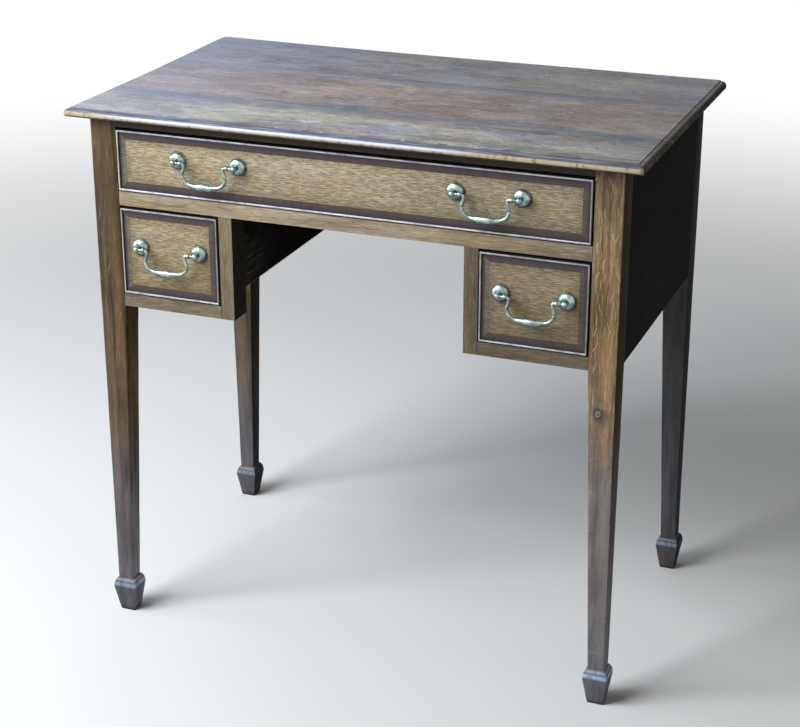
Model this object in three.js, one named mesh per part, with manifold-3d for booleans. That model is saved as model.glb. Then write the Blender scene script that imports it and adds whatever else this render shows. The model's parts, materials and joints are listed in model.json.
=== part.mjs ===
// Kneehole lowboy in oak: one long drawer over two small ones, on four tapered legs with spade feet.
// Lengths are in millimetres. +Z is up, the front faces -Y, and the floor is at z = 0.
import * as THREE from "three";
import { mergeVertices } from "three/addons/utils/BufferGeometryUtils.js";
import Module from "manifold-3d";

const wasm = await Module();
wasm.setup();

// Overall sizes
const TABLE_HEIGHT = 772;
const TOP_WIDTH = 800;
const TOP_DEPTH = 475;
const FRONT_OVERHANG = 21;
const REAR_OVERHANG = 12;
const SIDE_OVERHANG = 27.5;

// Top: three boards glued edge to edge, moulded along the front and both ends
const TOP_FRONT_BOARD = 129.5;
const TOP_MIDDLE_BOARD = 179.5;
const OVOLO_WIDTH = 7;
const OVOLO_HEIGHT = 7;
const OVOLO_RISE = 4.5;
const STEP_WIDTH = 1.5;
const STEP_HEIGHT = 1.5;
const NOSE_UNDERCUT = 2.5;
const OVOLO_SEGMENTS = 5;

// Legs and spade feet
const LEG_SIZE = 38;
const ANKLE_SIZE = 23;
const SPADE_SIZE = 32;
const SPADE_TOP = 43;
const SHOULDER_HEIGHT = 11;
const SHOULDER_ROUND_SHARE = 0.7;
const SPADE_FILLET = 4;
const FOOT_SIZE = 22.5;
const SHOULDER_SEGMENTS = 5;

// Carcase: rails and openings from the top down. Rails and stiles are as deep as the legs.
const TOP_RAIL_HEIGHT = 13;
const LONG_OPENING_HEIGHT = 89.5;
const MIDDLE_RAIL_HEIGHT = 20.5;
const SMALL_OPENING_HEIGHT = 127.5;
const LOWER_RAIL_HEIGHT = 19;
const SMALL_OPENING_WIDTH = 149.5;
const STILE_WIDTH = 20;
const SIDE_PANEL_THICKNESS = 16;
const SIDE_PANEL_INSET = 1;
const BACK_THICKNESS = 12;
const BACK_INSET = 1;
const KNEE_BOARD_THICKNESS = 11;
const KNEE_BOARD_SETBACK = 1;
const KNEE_BOARD_LIFT = 31.5;
const KNEE_BOARD_RISE = 12;

// Runners
const RUNNER_HEIGHT = 12;
const RUNNER_LEDGE = 22;
const GUIDE_HEIGHT = 16;
const BEARER_WIDTH = 22;
const BEARER_SETBACK = 19;

// Drawers
const DRAWER_REAR_GAP = 21;
const FRONT_THICKNESS = 20;
const SIDE_THICKNESS = 9;
const REAR_THICKNESS = 9;
const BOTTOM_THICKNESS = 6;
const DRAWER_SIDE_GAP = 1.5;
const DRAWER_TOP_GAP = 3;
const DRAWER_FLOOR_GAP = 1.5;
const RUNNING_GAP = 0.4;
const SIDE_INSET = 0.6;
const SIDE_TOP_DROP = 8;
const REAR_TOP_DROP = 14;
const BOTTOM_HOUSING = 9;
const HOUSING_GAP = 0.3;

// Cock bead and cross banding round each drawer front
const BEAD_THICKNESS = 3.3;
const BEAD_PROUD = 2.6;
const BEAD_DEPTH = 6;
const BEAD_SEGMENTS = 4;
const BAND_WIDTH = 9.5;
const BAND_THICKNESS = 1.2;
const BAND_GAP = 0.2;

// Dovetails
const LAP_BEHIND_BEAD = 1.5;
const TAIL_FLARE = 2.2;
const TAIL_MARGIN = 7;
const TAIL_SPACING = 9;
const JOINT_GAP = 0.25;
const LONG_TAILS = 2;
const SMALL_TAILS = 3;

// Handles
const BORE_CENTRES = 89;
const LONG_HANDLE_SETBACK = 136;
const HANDLE_RISE = 8.5;
const ROSE_RADIUS = 12.4;
const ROSE_RIM = 0.8;
const ROSE_LIP = 0.3;
const ROSE_DOME_HEIGHT = 8.2;
const ROSE_CROWN_RADIUS = 3;
const NECK_RADIUS = 2.8;
const NECK_LENGTH = 2.4;
const POMMEL_RADIUS = 4.4;
const DOME_SEGMENTS = 6;
const ROSE_SIDES = 18;
const BOLT_RADIUS = 2;
const BOLT_GAP = 0.4;
const NUT_WIDTH = 9;
const NUT_HEIGHT = 2.6;
const BOLT_TAIL = 2;
const PIN_RADIUS = 1.7;
const PIN_GAP = 0.35;
const PIN_LENGTH = 3.8;
const PIN_END_GAP = 0.8;

// Bail: its centre line is set in from the collars, the lower bends by their rise above the grip
// and the upper ones by their drop below the pins
const GRIP_DROP = 30;
const GRIP_FLAT_OUT = 8;
const LOWER_BEND_SETBACK = 14.5;
const LOWER_BEND_RISE = 1.3;
const HAUNCH_SETBACK = 9;
const HAUNCH_RISE = 3.6;
const CHEEK_SETBACK = 5;
const CHEEK_RISE = 7.2;
const FLANK_SETBACK = 3.1;
const FLANK_RISE = 11.4;
const SWAN_SETBACK = 2.8;
const SWAN_RISE = 14.8;
const WAIST_SETBACK = 5.1;
const WAIST_DROP = 7.2;
const ELBOW_SETBACK = 5.3;
const ELBOW_DROP = 2.5;
const CREST_SETBACK = 4.6;
const CREST_DROP = 0.75;
const COLLAR_RADIUS = 3.4;
const COLLAR_HALF_LENGTH = 2.8;
const COLLAR_GAP = 2.8;
const NECK_ROD_RADIUS = 2.2;
const ROD_RADIUS = 2.6;
const GRIP_RADIUS = 5.3;
const GRIP_SWELL_OUT = 25;
const BAIL_STEPS = 60;
const BAIL_SIDES = 9;

// Sizes and positions that follow from these
const TOP_THICKNESS = OVOLO_RISE + OVOLO_HEIGHT + STEP_HEIGHT;
const ANKLE_HEIGHT = SPADE_TOP + SHOULDER_HEIGHT;
const CARCASE_HALF = TOP_WIDTH / 2 - SIDE_OVERHANG;
const CARCASE_FRONT = -TOP_DEPTH / 2 + FRONT_OVERHANG;
const CARCASE_REAR = TOP_DEPTH / 2 - REAR_OVERHANG;
const CARCASE_TOP = TABLE_HEIGHT - TOP_THICKNESS;
const BETWEEN_LEGS = CARCASE_HALF - LEG_SIZE;
const LEG_BACK = CARCASE_FRONT + LEG_SIZE;
const REAR_LEG_FRONT = CARCASE_REAR - LEG_SIZE;
const BACK_FACE = CARCASE_REAR - BACK_INSET;
const BACK_FRONT = BACK_FACE - BACK_THICKNESS;
const PANEL_OUTER = CARCASE_HALF - SIDE_PANEL_INSET;
const PANEL_INNER = PANEL_OUTER - SIDE_PANEL_THICKNESS;
const STILE_OUTER = BETWEEN_LEGS - SMALL_OPENING_WIDTH;
const STILE_INNER = STILE_OUTER - STILE_WIDTH;
const LONG_OPENING_TOP = CARCASE_TOP - TOP_RAIL_HEIGHT;
const MIDDLE_RAIL_TOP = LONG_OPENING_TOP - LONG_OPENING_HEIGHT;
const MIDDLE_RAIL_BOTTOM = MIDDLE_RAIL_TOP - MIDDLE_RAIL_HEIGHT;
const LOWER_RAIL_TOP = MIDDLE_RAIL_BOTTOM - SMALL_OPENING_HEIGHT;
const CARCASE_BOTTOM = LOWER_RAIL_TOP - LOWER_RAIL_HEIGHT;
const KNEE_BOARD_OUTER = STILE_OUTER - KNEE_BOARD_SETBACK;
const KNEE_BOARD_INNER = KNEE_BOARD_OUTER - KNEE_BOARD_THICKNESS;
const KNEE_BOARD_SPAN = [CARCASE_BOTTOM + KNEE_BOARD_LIFT, MIDDLE_RAIL_BOTTOM + KNEE_BOARD_RISE];
const DRAWER_LENGTH = BACK_FRONT - CARCASE_FRONT - DRAWER_REAR_GAP;
const LAP_THICKNESS = BEAD_DEPTH + LAP_BEHIND_BEAD;
const ROSE_STEP_RADIUS = ROSE_RADIUS - ROSE_LIP;
const POMMEL_FOOT = ROSE_DOME_HEIGHT + NECK_LENGTH;
const POMMEL_STANDOFF = POMMEL_FOOT + Math.sqrt(POMMEL_RADIUS ** 2 - NECK_RADIUS ** 2);
const COLLAR_OUT = BORE_CENTRES / 2 - POMMEL_RADIUS - COLLAR_GAP - COLLAR_HALF_LENGTH;
const SIDES = [["left", -1], ["right", 1]];

// Looks
const OAK_LEG = 0x76583a;
const OAK_RAIL = 0x84663f;
const OAK_TOP = 0x6b5a4a;
const OAK_SIDE = 0x3a2a22;
const OAK_FIELD = 0x94774a;
const OAK_INNER = 0x8a6e4c;
const BANDING = 0x35201f;
const BEADING = 0x4a3a33;
const BRASS = 0xa3a78c;

const wood = (color) => new THREE.MeshStandardMaterial({ color, roughness: 0.55, metalness: 0 });
const metal = (color) => new THREE.MeshStandardMaterial({ color, roughness: 0.32, metalness: 1 });

// Wooden faces that meet are rounded to the same steps, so they meet exactly
const STEPS_PER_UNIT = 64;
const snap = (value) => Math.round(value * STEPS_PER_UNIT) / STEPS_PER_UNIT;
const WELD = 1e-4;

function solid(geometry) {
  const plain = geometry.index ? geometry.toNonIndexed() : geometry.clone();
  plain.deleteAttribute("normal");
  plain.deleteAttribute("uv");
  const merged = mergeVertices(plain, WELD);
  const mesh = new wasm.Mesh({
    numProp: 3,
    vertProperties: new Float32Array(merged.attributes.position.array),
    triVerts: new Uint32Array(merged.index.array),
  });
  return new wasm.Manifold(mesh);
}

function surface(manifold, rounding) {
  const mesh = manifold.getMesh();
  const points = new Float32Array(mesh.numVert * 3);
  for (let i = 0; i < mesh.numVert; i += 1) {
    for (let axis = 0; axis < 3; axis += 1) {
      points[i * 3 + axis] = rounding(mesh.vertProperties[i * mesh.numProp + axis]);
    }
  }
  const geometry = new THREE.BufferGeometry();
  geometry.setAttribute("position", new THREE.BufferAttribute(points, 3));
  geometry.setIndex(new THREE.BufferAttribute(new Uint32Array(mesh.triVerts), 1));
  geometry.computeVertexNormals();
  return geometry;
}

function subgroup(parent, name, x, y, z) {
  const group = new THREE.Group();
  group.name = name;
  group.position.set(snap(x), snap(y), snap(z));
  parent.add(group);
  return group;
}

function place(parent, name, manifold, look, rounding = snap) {
  const mesh = new THREE.Mesh(surface(manifold, rounding), look);
  mesh.name = name;
  parent.add(mesh);
  return mesh;
}

// A plain board between two corners, centred on its own position
function board(parent, name, look, spanX, spanY, spanZ) {
  const [x, y, z] = [spanX, spanY, spanZ].map(([from, to]) => [snap(from), snap(to)]);
  const mesh = new THREE.Mesh(new THREE.BoxGeometry(x[1] - x[0], y[1] - y[0], z[1] - z[0]), look);
  mesh.position.set((x[0] + x[1]) / 2, (y[0] + y[1]) / 2, (z[0] + z[1]) / 2);
  mesh.name = name;
  parent.add(mesh);
}

// A block between two corners, to join or cut with
function block([x0, x1], [y0, y1], [z0, z1]) {
  const geometry = new THREE.BoxGeometry(x1 - x0, y1 - y0, z1 - z0);
  geometry.translate((x0 + x1) / 2, (y0 + y1) / 2, (z0 + z1) / 2);
  return solid(geometry);
}

function outline(points) {
  const vectors = points.map(([a, b]) => new THREE.Vector2(a, b));
  return new THREE.Shape(THREE.ShapeUtils.isClockWise(vectors) ? vectors.reverse() : vectors);
}

// Prisms named for the axis they run along; their sections are drawn in the other two, in x, y, z order
function prismAlongX(points, [x0, x1]) {
  const geometry = new THREE.ExtrudeGeometry(outline(points), { depth: x1 - x0, bevelEnabled: false });
  geometry.rotateX(Math.PI / 2);
  geometry.rotateZ(Math.PI / 2);
  geometry.translate(x0, 0, 0);
  return solid(geometry);
}

function prismAlongY(points, [y0, y1]) {
  const geometry = new THREE.ExtrudeGeometry(outline(points), { depth: y1 - y0, bevelEnabled: false });
  geometry.rotateX(Math.PI / 2);
  geometry.translate(0, y1, 0);
  return solid(geometry);
}

function prismAlongZ(points, [z0, z1]) {
  const geometry = new THREE.ExtrudeGeometry(outline(points), { depth: z1 - z0, bevelEnabled: false });
  geometry.translate(0, 0, z0);
  return solid(geometry);
}

const onSide = (side, near, far) => (side > 0 ? [near, far] : [-far, -near]);
const shrink = ([low, high], by) => [low + by, high - by];
const quarter = (count) => Array.from({ length: count + 1 }, (_, i) => (Math.PI / 2) * (i / count));

// Top: one slab moulded on three edges, the mouldings mitred where they cross, then sawn at the glue lines
function mouldedEdge() {
  const under = quarter(OVOLO_SEGMENTS).map((angle) => [
    NOSE_UNDERCUT * (1 - Math.sin(angle)),
    OVOLO_RISE * (1 - Math.cos(angle)),
  ]);
  const ovolo = quarter(OVOLO_SEGMENTS).slice(1).map((angle) => [
    OVOLO_WIDTH * (1 - Math.cos(angle)),
    OVOLO_RISE + OVOLO_HEIGHT * Math.sin(angle),
  ]);
  const step = OVOLO_WIDTH + STEP_WIDTH;
  return [...under, ...ovolo, [step, OVOLO_RISE + OVOLO_HEIGHT], [step, TOP_THICKNESS]];
}

function topSlab() {
  const edge = mouldedEdge();
  const front = edge.map(([inset, height]) => [-TOP_DEPTH / 2 + inset, height]);
  const left = edge.map(([inset, height]) => [-TOP_WIDTH / 2 + inset, height]);
  const right = left.map(([x, z]) => [-x, z]).reverse();
  const section = [...front, [TOP_DEPTH / 2, TOP_THICKNESS], [TOP_DEPTH / 2, 0]];
  const lengthways = prismAlongX(section, [-TOP_WIDTH / 2, TOP_WIDTH / 2]);
  return lengthways.intersect(prismAlongY([...left, ...right], [-TOP_DEPTH / 2, TOP_DEPTH / 2]));
}

function addTop(parent) {
  const top = subgroup(parent, "top", 0, 0, CARCASE_TOP);
  const slab = topSlab();
  const firstJoint = -TOP_DEPTH / 2 + TOP_FRONT_BOARD;
  const secondJoint = firstJoint + TOP_MIDDLE_BOARD;
  const boards = [
    ["top_front_board", [-TOP_DEPTH, firstJoint]],
    ["top_middle_board", [firstJoint, secondJoint]],
    ["top_rear_board", [secondJoint, TOP_DEPTH]],
  ];
  for (const [name, span] of boards) {
    const slice = block([-TOP_WIDTH, TOP_WIDTH], span, [-TOP_THICKNESS, TOP_THICKNESS * 2]);
    place(top, name, slab.intersect(slice), wood(OAK_TOP));
  }
}

// Leg: one outline seen from the front, crossed with the same one seen from the side. The spade's
// shoulder is part chamfer and part ovolo.
// Its outer corner stands at the origin and the wood lies towards +x and +y.
function legOutline() {
  const centre = ANKLE_SIZE / 2;
  const flare = SPADE_SIZE / 2 - centre;
  const shoulder = quarter(SHOULDER_SEGMENTS).map((angle, i) => {
    const chamfer = (1 - SHOULDER_ROUND_SHARE) * (i / SHOULDER_SEGMENTS);
    const out = chamfer + SHOULDER_ROUND_SHARE * Math.sin(angle);
    const down = chamfer + SHOULDER_ROUND_SHARE * (1 - Math.cos(angle));
    return [centre + flare * out, ANKLE_HEIGHT - SHOULDER_HEIGHT * down];
  });
  const spade = [...shoulder, [SPADE_SIZE / 2, SPADE_TOP - SPADE_FILLET], [FOOT_SIZE / 2, 0]];
  const inner = spade.map(([half, z]) => [centre + half, z]);
  const outer = spade.map(([half, z]) => [centre - half, z]).reverse();
  return [[0, CARCASE_TOP], [LEG_SIZE, CARCASE_TOP], [LEG_SIZE, CARCASE_BOTTOM], ...inner, ...outer];
}

function legSolid() {
  const edge = legOutline();
  const span = [-SPADE_SIZE, LEG_SIZE + SPADE_SIZE];
  return prismAlongY(edge, span).intersect(prismAlongX(edge, span));
}

function addLegs(parent) {
  const legs = subgroup(parent, "legs", 0, 0, 0);
  const shape = legSolid();
  const corners = [
    ["leg_front_left", -CARCASE_HALF, CARCASE_FRONT, 0],
    ["leg_front_right", CARCASE_HALF, CARCASE_FRONT, 1],
    ["leg_rear_right", CARCASE_HALF, CARCASE_REAR, 2],
    ["leg_rear_left", -CARCASE_HALF, CARCASE_REAR, 3],
  ];
  for (const [name, x, y, turns] of corners) {
    const mesh = place(legs, name, shape, wood(OAK_LEG));
    mesh.position.set(snap(x), snap(y), 0);
    mesh.rotation.z = (Math.PI / 2) * turns;
  }
}

function addCarcase(parent) {
  const carcase = subgroup(parent, "carcase", 0, 0, 0);
  const across = [-BETWEEN_LEGS, BETWEEN_LEGS];
  const fullHeight = [CARCASE_BOTTOM, CARCASE_TOP];
  const railDepth = [CARCASE_FRONT, LEG_BACK];
  const stileHeight = [CARCASE_BOTTOM, MIDDLE_RAIL_BOTTOM];
  const railHeight = [CARCASE_BOTTOM, LOWER_RAIL_TOP];
  const kneeDepth = [LEG_BACK, BACK_FRONT];
  board(carcase, "back_board", wood(OAK_SIDE), across, [BACK_FRONT, BACK_FACE], fullHeight);
  board(carcase, "top_rail", wood(OAK_RAIL), across, railDepth, [LONG_OPENING_TOP, CARCASE_TOP]);
  board(carcase, "middle_rail", wood(OAK_RAIL), across, railDepth, [MIDDLE_RAIL_BOTTOM, MIDDLE_RAIL_TOP]);
  for (const [name, side] of SIDES) {
    const panel = onSide(side, PANEL_INNER, PANEL_OUTER);
    const stile = onSide(side, STILE_INNER, STILE_OUTER);
    const kneeBoard = onSide(side, KNEE_BOARD_INNER, KNEE_BOARD_OUTER);
    const rail = onSide(side, STILE_OUTER, BETWEEN_LEGS);
    board(carcase, "side_panel_" + name, wood(OAK_SIDE), panel, [LEG_BACK, REAR_LEG_FRONT], fullHeight);
    board(carcase, "lower_rail_" + name, wood(OAK_RAIL), rail, railDepth, railHeight);
    board(carcase, "kneehole_stile_" + name, wood(OAK_RAIL), stile, railDepth, stileHeight);
    board(carcase, "kneehole_board_" + name, wood(OAK_SIDE), kneeBoard, kneeDepth, KNEE_BOARD_SPAN);
  }
}

// Runners: a ledge under each drawer with a guide beside it, and a bearer under the small drawers
function steppedRunner(side) {
  const ledge = BETWEEN_LEGS - RUNNER_LEDGE;
  const section = [
    [side * PANEL_INNER, -RUNNER_HEIGHT],
    [side * ledge, -RUNNER_HEIGHT],
    [side * ledge, 0],
    [side * BETWEEN_LEGS, 0],
    [side * BETWEEN_LEGS, GUIDE_HEIGHT],
    [side * PANEL_INNER, GUIDE_HEIGHT],
  ];
  return prismAlongY(section, [LEG_BACK, REAR_LEG_FRONT]);
}

function addRunners(parent) {
  const upper = subgroup(parent, "upper_runners", 0, 0, MIDDLE_RAIL_TOP);
  const lower = subgroup(parent, "lower_runners", 0, 0, LOWER_RAIL_TOP);
  const near = STILE_OUTER + BEARER_SETBACK;
  const depth = [LEG_BACK, BACK_FRONT];
  for (const [name, side] of SIDES) {
    const bearer = onSide(side, near, near + BEARER_WIDTH);
    place(upper, "long_runner_" + name, steppedRunner(side), wood(OAK_INNER));
    place(lower, "small_runner_" + name, steppedRunner(side), wood(OAK_INNER));
    board(lower, "small_bearer_" + name, wood(OAK_INNER), bearer, depth, [-RUNNER_HEIGHT, 0]);
  }
}

// Drawer parts are drawn from the middle of the front's lower edge, with y = 0 on the front's face

// Cock bead: a mitred frame with a half-round nose. The nose is rounded from outside by one pair
// of crossed prisms, and the flared plug that a second pair makes rounds it from inside.
function noseSection([low, high], nose) {
  const bend = quarter(BEAD_SEGMENTS).map((angle) => [
    nose * (1 - Math.cos(angle)),
    -BEAD_PROUD + nose * (1 - Math.sin(angle)),
  ]);
  const near = bend.map(([inset, y]) => [low + inset, y]);
  const far = bend.map(([inset, y]) => [high - inset, y]).reverse();
  return [[high, BEAD_DEPTH], [low, BEAD_DEPTH], ...near, ...far];
}

function flareSection([low, high], nose) {
  const bend = quarter(BEAD_SEGMENTS).map((angle) => [
    nose * (1 - Math.cos(angle)),
    -BEAD_PROUD + nose * (1 - Math.sin(angle)),
  ]);
  const near = bend.map(([inset, y]) => [low - inset, y]);
  const far = bend.map(([inset, y]) => [high + inset, y]).reverse();
  const ahead = -BEAD_PROUD - nose;
  const behind = BEAD_DEPTH * 2;
  return [[high, behind], [low, behind], ...near, [low - nose, ahead], [high + nose, ahead], ...far];
}

function crossed(section, spanX, spanZ, nose) {
  const upright = section(spanX, nose);
  const lying = section(spanZ, nose).map(([z, y]) => [y, z]);
  const alongZ = prismAlongZ(upright, shrink(spanZ, -BEAD_DEPTH));
  return alongZ.intersect(prismAlongX(lying, shrink(spanX, -BEAD_DEPTH)));
}

function cockBead(spanX, spanZ) {
  const nose = BEAD_THICKNESS / 2;
  const body = crossed(noseSection, spanX, spanZ, nose);
  const opening = [spanX, spanZ].map((span) => shrink(span, BEAD_THICKNESS));
  return body.subtract(crossed(flareSection, ...opening, nose));
}

function crossBand(spanX, spanZ) {
  const inner = BEAD_THICKNESS + BAND_WIDTH;
  const ring = block(shrink(spanX, BEAD_THICKNESS), [0, BAND_THICKNESS], shrink(spanZ, BEAD_THICKNESS));
  const through = [-BAND_THICKNESS, BAND_THICKNESS * 2];
  return ring.subtract(block(shrink(spanX, inner), through, shrink(spanZ, inner)));
}

// Dovetails: each tail widens towards its tip, and a socket is the tail grown by the joint gap.
// The outlines of the tails on one end of a side, from the lowest up, as y and z.
function tailOutlines([low, high], count, tip, root, grow) {
  const pitch = (high - low - 2 * TAIL_MARGIN + TAIL_SPACING) / count;
  const half = (pitch - TAIL_SPACING) / 2;
  const wide = half + grow;
  const narrow = half - TAIL_FLARE + grow;
  return Array.from({ length: count }, (_, i) => {
    const z = low + TAIL_MARGIN + half + i * pitch;
    return [[root, z - narrow], [tip, z - wide], [tip, z + wide], [root, z + narrow]];
  });
}

function cutSockets(body, reaches, spanZ, count, tip, root) {
  const outlines = tailOutlines(spanZ, count, tip, root, JOINT_GAP);
  const sockets = reaches.flatMap((reach) => outlines.map((points) => prismAlongX(points, reach)));
  return sockets.reduce((rest, socket) => rest.subtract(socket), body);
}

function drawerSizes(width, height) {
  const outer = width / 2 - SIDE_INSET;
  const inner = outer - SIDE_THICKNESS;
  const floor = RUNNING_GAP - DRAWER_FLOOR_GAP;
  const reach = [inner - JOINT_GAP, outer + SIDE_THICKNESS];
  return {
    spanX: [-width / 2, width / 2],
    spanZ: [0, height],
    inside: [-outer, outer],
    sides: SIDES.map(([, side]) => onSide(side, inner, outer)),
    reaches: SIDES.map(([, side]) => onSide(side, ...reach)),
    floor,
    boxFloor: floor + BOTTOM_THICKNESS,
    sideSpanZ: [floor + BOTTOM_THICKNESS, height - SIDE_TOP_DROP],
    rearSpanZ: [floor + BOTTOM_THICKNESS, height - REAR_TOP_DROP],
    rearFront: DRAWER_LENGTH - REAR_THICKNESS,
  };
}

// Front: rebated for the bead, sunk for the banding, housed for the bottom, socketed and bored
function drawerFront(sizes, tailCount, bores, boreHeight) {
  const { spanX, spanZ } = sizes;
  const spare = SIDE_THICKNESS;
  const core = block(shrink(spanX, BEAD_THICKNESS), [0, FRONT_THICKNESS], shrink(spanZ, BEAD_THICKNESS));
  let front = core.add(block(spanX, [BEAD_DEPTH, FRONT_THICKNESS], spanZ));
  const inset = BEAD_THICKNESS + BAND_WIDTH + BAND_GAP;
  const field = block(shrink(spanX, inset), [-spare * 2, FRONT_THICKNESS], shrink(spanZ, inset));
  const sunk = block(shrink(spanX, -spare), [-spare, BAND_THICKNESS], shrink(spanZ, -spare));
  front = front.subtract(sunk.subtract(field));
  const housing = [FRONT_THICKNESS - BOTTOM_HOUSING, FRONT_THICKNESS + spare];
  const housingHeight = [-spare, sizes.boxFloor + HOUSING_GAP];
  front = front.subtract(block(shrink(sizes.inside, -spare), housing, housingHeight));
  const tip = LAP_THICKNESS - JOINT_GAP;
  front = cutSockets(front, sizes.reaches, sizes.sideSpanZ, tailCount, tip, FRONT_THICKNESS + JOINT_GAP);
  for (const x of bores) {
    const radius = BOLT_RADIUS + BOLT_GAP;
    const hole = new THREE.CylinderGeometry(radius, radius, FRONT_THICKNESS * 2, ROSE_SIDES);
    hole.translate(x, FRONT_THICKNESS / 2, boreHeight);
    front = front.subtract(solid(hole));
  }
  return front;
}

function drawerSide(span, sizes, tailCount) {
  const { sideSpanZ, rearSpanZ, rearFront } = sizes;
  const [low, high] = sideSpanZ;
  const ahead = tailOutlines(sideSpanZ, tailCount, LAP_THICKNESS, FRONT_THICKNESS, 0).flat();
  const behind = tailOutlines(rearSpanZ, tailCount, DRAWER_LENGTH, rearFront, 0).flat().reverse();
  const front = [[FRONT_THICKNESS, low], ...ahead, [FRONT_THICKNESS, high]];
  return prismAlongX([...front, [rearFront, high], ...behind, [rearFront, low]], span);
}

function drawerRear(sizes, tailCount) {
  const { inside, reaches, rearSpanZ, rearFront } = sizes;
  const rear = block(inside, [rearFront, DRAWER_LENGTH], rearSpanZ);
  const tip = DRAWER_LENGTH + JOINT_GAP;
  return cutSockets(rear, reaches, rearSpanZ, tailCount, tip, rearFront - JOINT_GAP);
}

function addDrawer(parent, name, openingX, openingZ, tailCount, handles) {
  const [from, to] = shrink(openingX, DRAWER_SIDE_GAP);
  const height = openingZ[1] - openingZ[0] - DRAWER_TOP_GAP - DRAWER_FLOOR_GAP;
  const sizes = drawerSizes(to - from, height);
  const drawer = subgroup(parent, name, (from + to) / 2, CARCASE_FRONT, openingZ[0] + DRAWER_FLOOR_GAP);
  const handleHeight = height / 2 + HANDLE_RISE;
  const bores = handles.flatMap(([, x]) => [x - BORE_CENTRES / 2, x + BORE_CENTRES / 2]);
  place(drawer, name + "_front", drawerFront(sizes, tailCount, bores, handleHeight), wood(OAK_FIELD));
  place(drawer, name + "_cock_bead", cockBead(sizes.spanX, sizes.spanZ), wood(BEADING));
  place(drawer, name + "_cross_band", crossBand(sizes.spanX, sizes.spanZ), wood(BANDING));
  place(drawer, name + "_side_left", drawerSide(sizes.sides[0], sizes, tailCount), wood(OAK_INNER));
  place(drawer, name + "_side_right", drawerSide(sizes.sides[1], sizes, tailCount), wood(OAK_INNER));
  place(drawer, name + "_back", drawerRear(sizes, tailCount), wood(OAK_INNER));
  const bottomSpan = [FRONT_THICKNESS - BOTTOM_HOUSING + HOUSING_GAP, DRAWER_LENGTH];
  board(drawer, name + "_bottom", wood(OAK_INNER), sizes.inside, bottomSpan, [sizes.floor, sizes.boxFloor]);
  for (const [handleName, x] of handles) addHandle(drawer, handleName, x, handleHeight);
}

// Rose and pommel: one turned piece on the bolt that holds it, with a socket for the bail's pin.
// The bolt runs along +y through the front, and the pommel stands ahead of it, towards -y.
function roseSolid() {
  const dome = quarter(DOME_SEGMENTS).map((angle) => [
    ROSE_CROWN_RADIUS + (ROSE_STEP_RADIUS - ROSE_CROWN_RADIUS) * Math.cos(angle),
    ROSE_RIM + (ROSE_DOME_HEIGHT - ROSE_RIM) * Math.sin(angle),
  ]);
  const join = Math.asin(NECK_RADIUS / POMMEL_RADIUS);
  const pommel = Array.from({ length: DOME_SEGMENTS + 2 }, (_, i) => {
    const angle = join + (Math.PI - join) * (i / (DOME_SEGMENTS + 1));
    return [POMMEL_RADIUS * Math.sin(angle), POMMEL_STANDOFF - POMMEL_RADIUS * Math.cos(angle)];
  });
  const neck = [NECK_RADIUS, ROSE_DOME_HEIGHT + NECK_LENGTH / 2];
  const tip = [0, POMMEL_STANDOFF + POMMEL_RADIUS];
  const foot = [[0, 0], [ROSE_RADIUS, 0], [ROSE_RADIUS, ROSE_RIM]];
  const profile = [...foot, ...dome, neck, ...pommel.slice(0, -1), tip];
  const turned = new THREE.LatheGeometry(profile.map(([r, h]) => new THREE.Vector2(r, h)), ROSE_SIDES);
  turned.rotateX(Math.PI);
  const reach = FRONT_THICKNESS + NUT_HEIGHT + BOLT_TAIL;
  const shank = new THREE.CylinderGeometry(BOLT_RADIUS, BOLT_RADIUS, reach + ROSE_RIM, ROSE_SIDES);
  shank.translate(0, (reach - ROSE_RIM) / 2, 0);
  const nut = new THREE.BoxGeometry(NUT_WIDTH, NUT_HEIGHT, NUT_WIDTH);
  nut.translate(0, FRONT_THICKNESS + NUT_HEIGHT / 2, 0);
  const socketRadius = PIN_RADIUS + PIN_GAP;
  const socketDepth = PIN_LENGTH + PIN_END_GAP;
  const socket = new THREE.CylinderGeometry(socketRadius, socketRadius, socketDepth * 2, ROSE_SIDES);
  socket.rotateZ(Math.PI / 2);
  socket.translate(POMMEL_RADIUS, -POMMEL_STANDOFF, 0);
  return solid(turned).add(solid(shank)).add(solid(nut)).subtract(solid(socket));
}

// Bail: a straight rod with its thickness varied, then bent along the swan-neck line
function bailLine() {
  const half = [
    [GRIP_FLAT_OUT, GRIP_DROP],
    [COLLAR_OUT - LOWER_BEND_SETBACK, GRIP_DROP - LOWER_BEND_RISE],
    [COLLAR_OUT - HAUNCH_SETBACK, GRIP_DROP - HAUNCH_RISE],
    [COLLAR_OUT - CHEEK_SETBACK, GRIP_DROP - CHEEK_RISE],
    [COLLAR_OUT - FLANK_SETBACK, GRIP_DROP - FLANK_RISE],
    [COLLAR_OUT - SWAN_SETBACK, GRIP_DROP - SWAN_RISE],
    [COLLAR_OUT - WAIST_SETBACK, WAIST_DROP],
    [COLLAR_OUT - ELBOW_SETBACK, ELBOW_DROP],
    [COLLAR_OUT - CREST_SETBACK, CREST_DROP],
    [COLLAR_OUT - COLLAR_HALF_LENGTH, 0],
    [COLLAR_OUT, 0],
    [COLLAR_OUT + COLLAR_HALF_LENGTH, 0],
    [BORE_CENTRES / 2 - POMMEL_RADIUS + PIN_LENGTH, 0],
  ];
  const right = half.map(([x, drop]) => new THREE.Vector3(x, 0, -drop));
  const left = half.map(([x, drop]) => new THREE.Vector3(-x, 0, -drop)).reverse();
  const middle = new THREE.Vector3(0, 0, -GRIP_DROP);
  return new THREE.CatmullRomCurve3([...left, middle, ...right], false, "centripetal");
}

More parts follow.
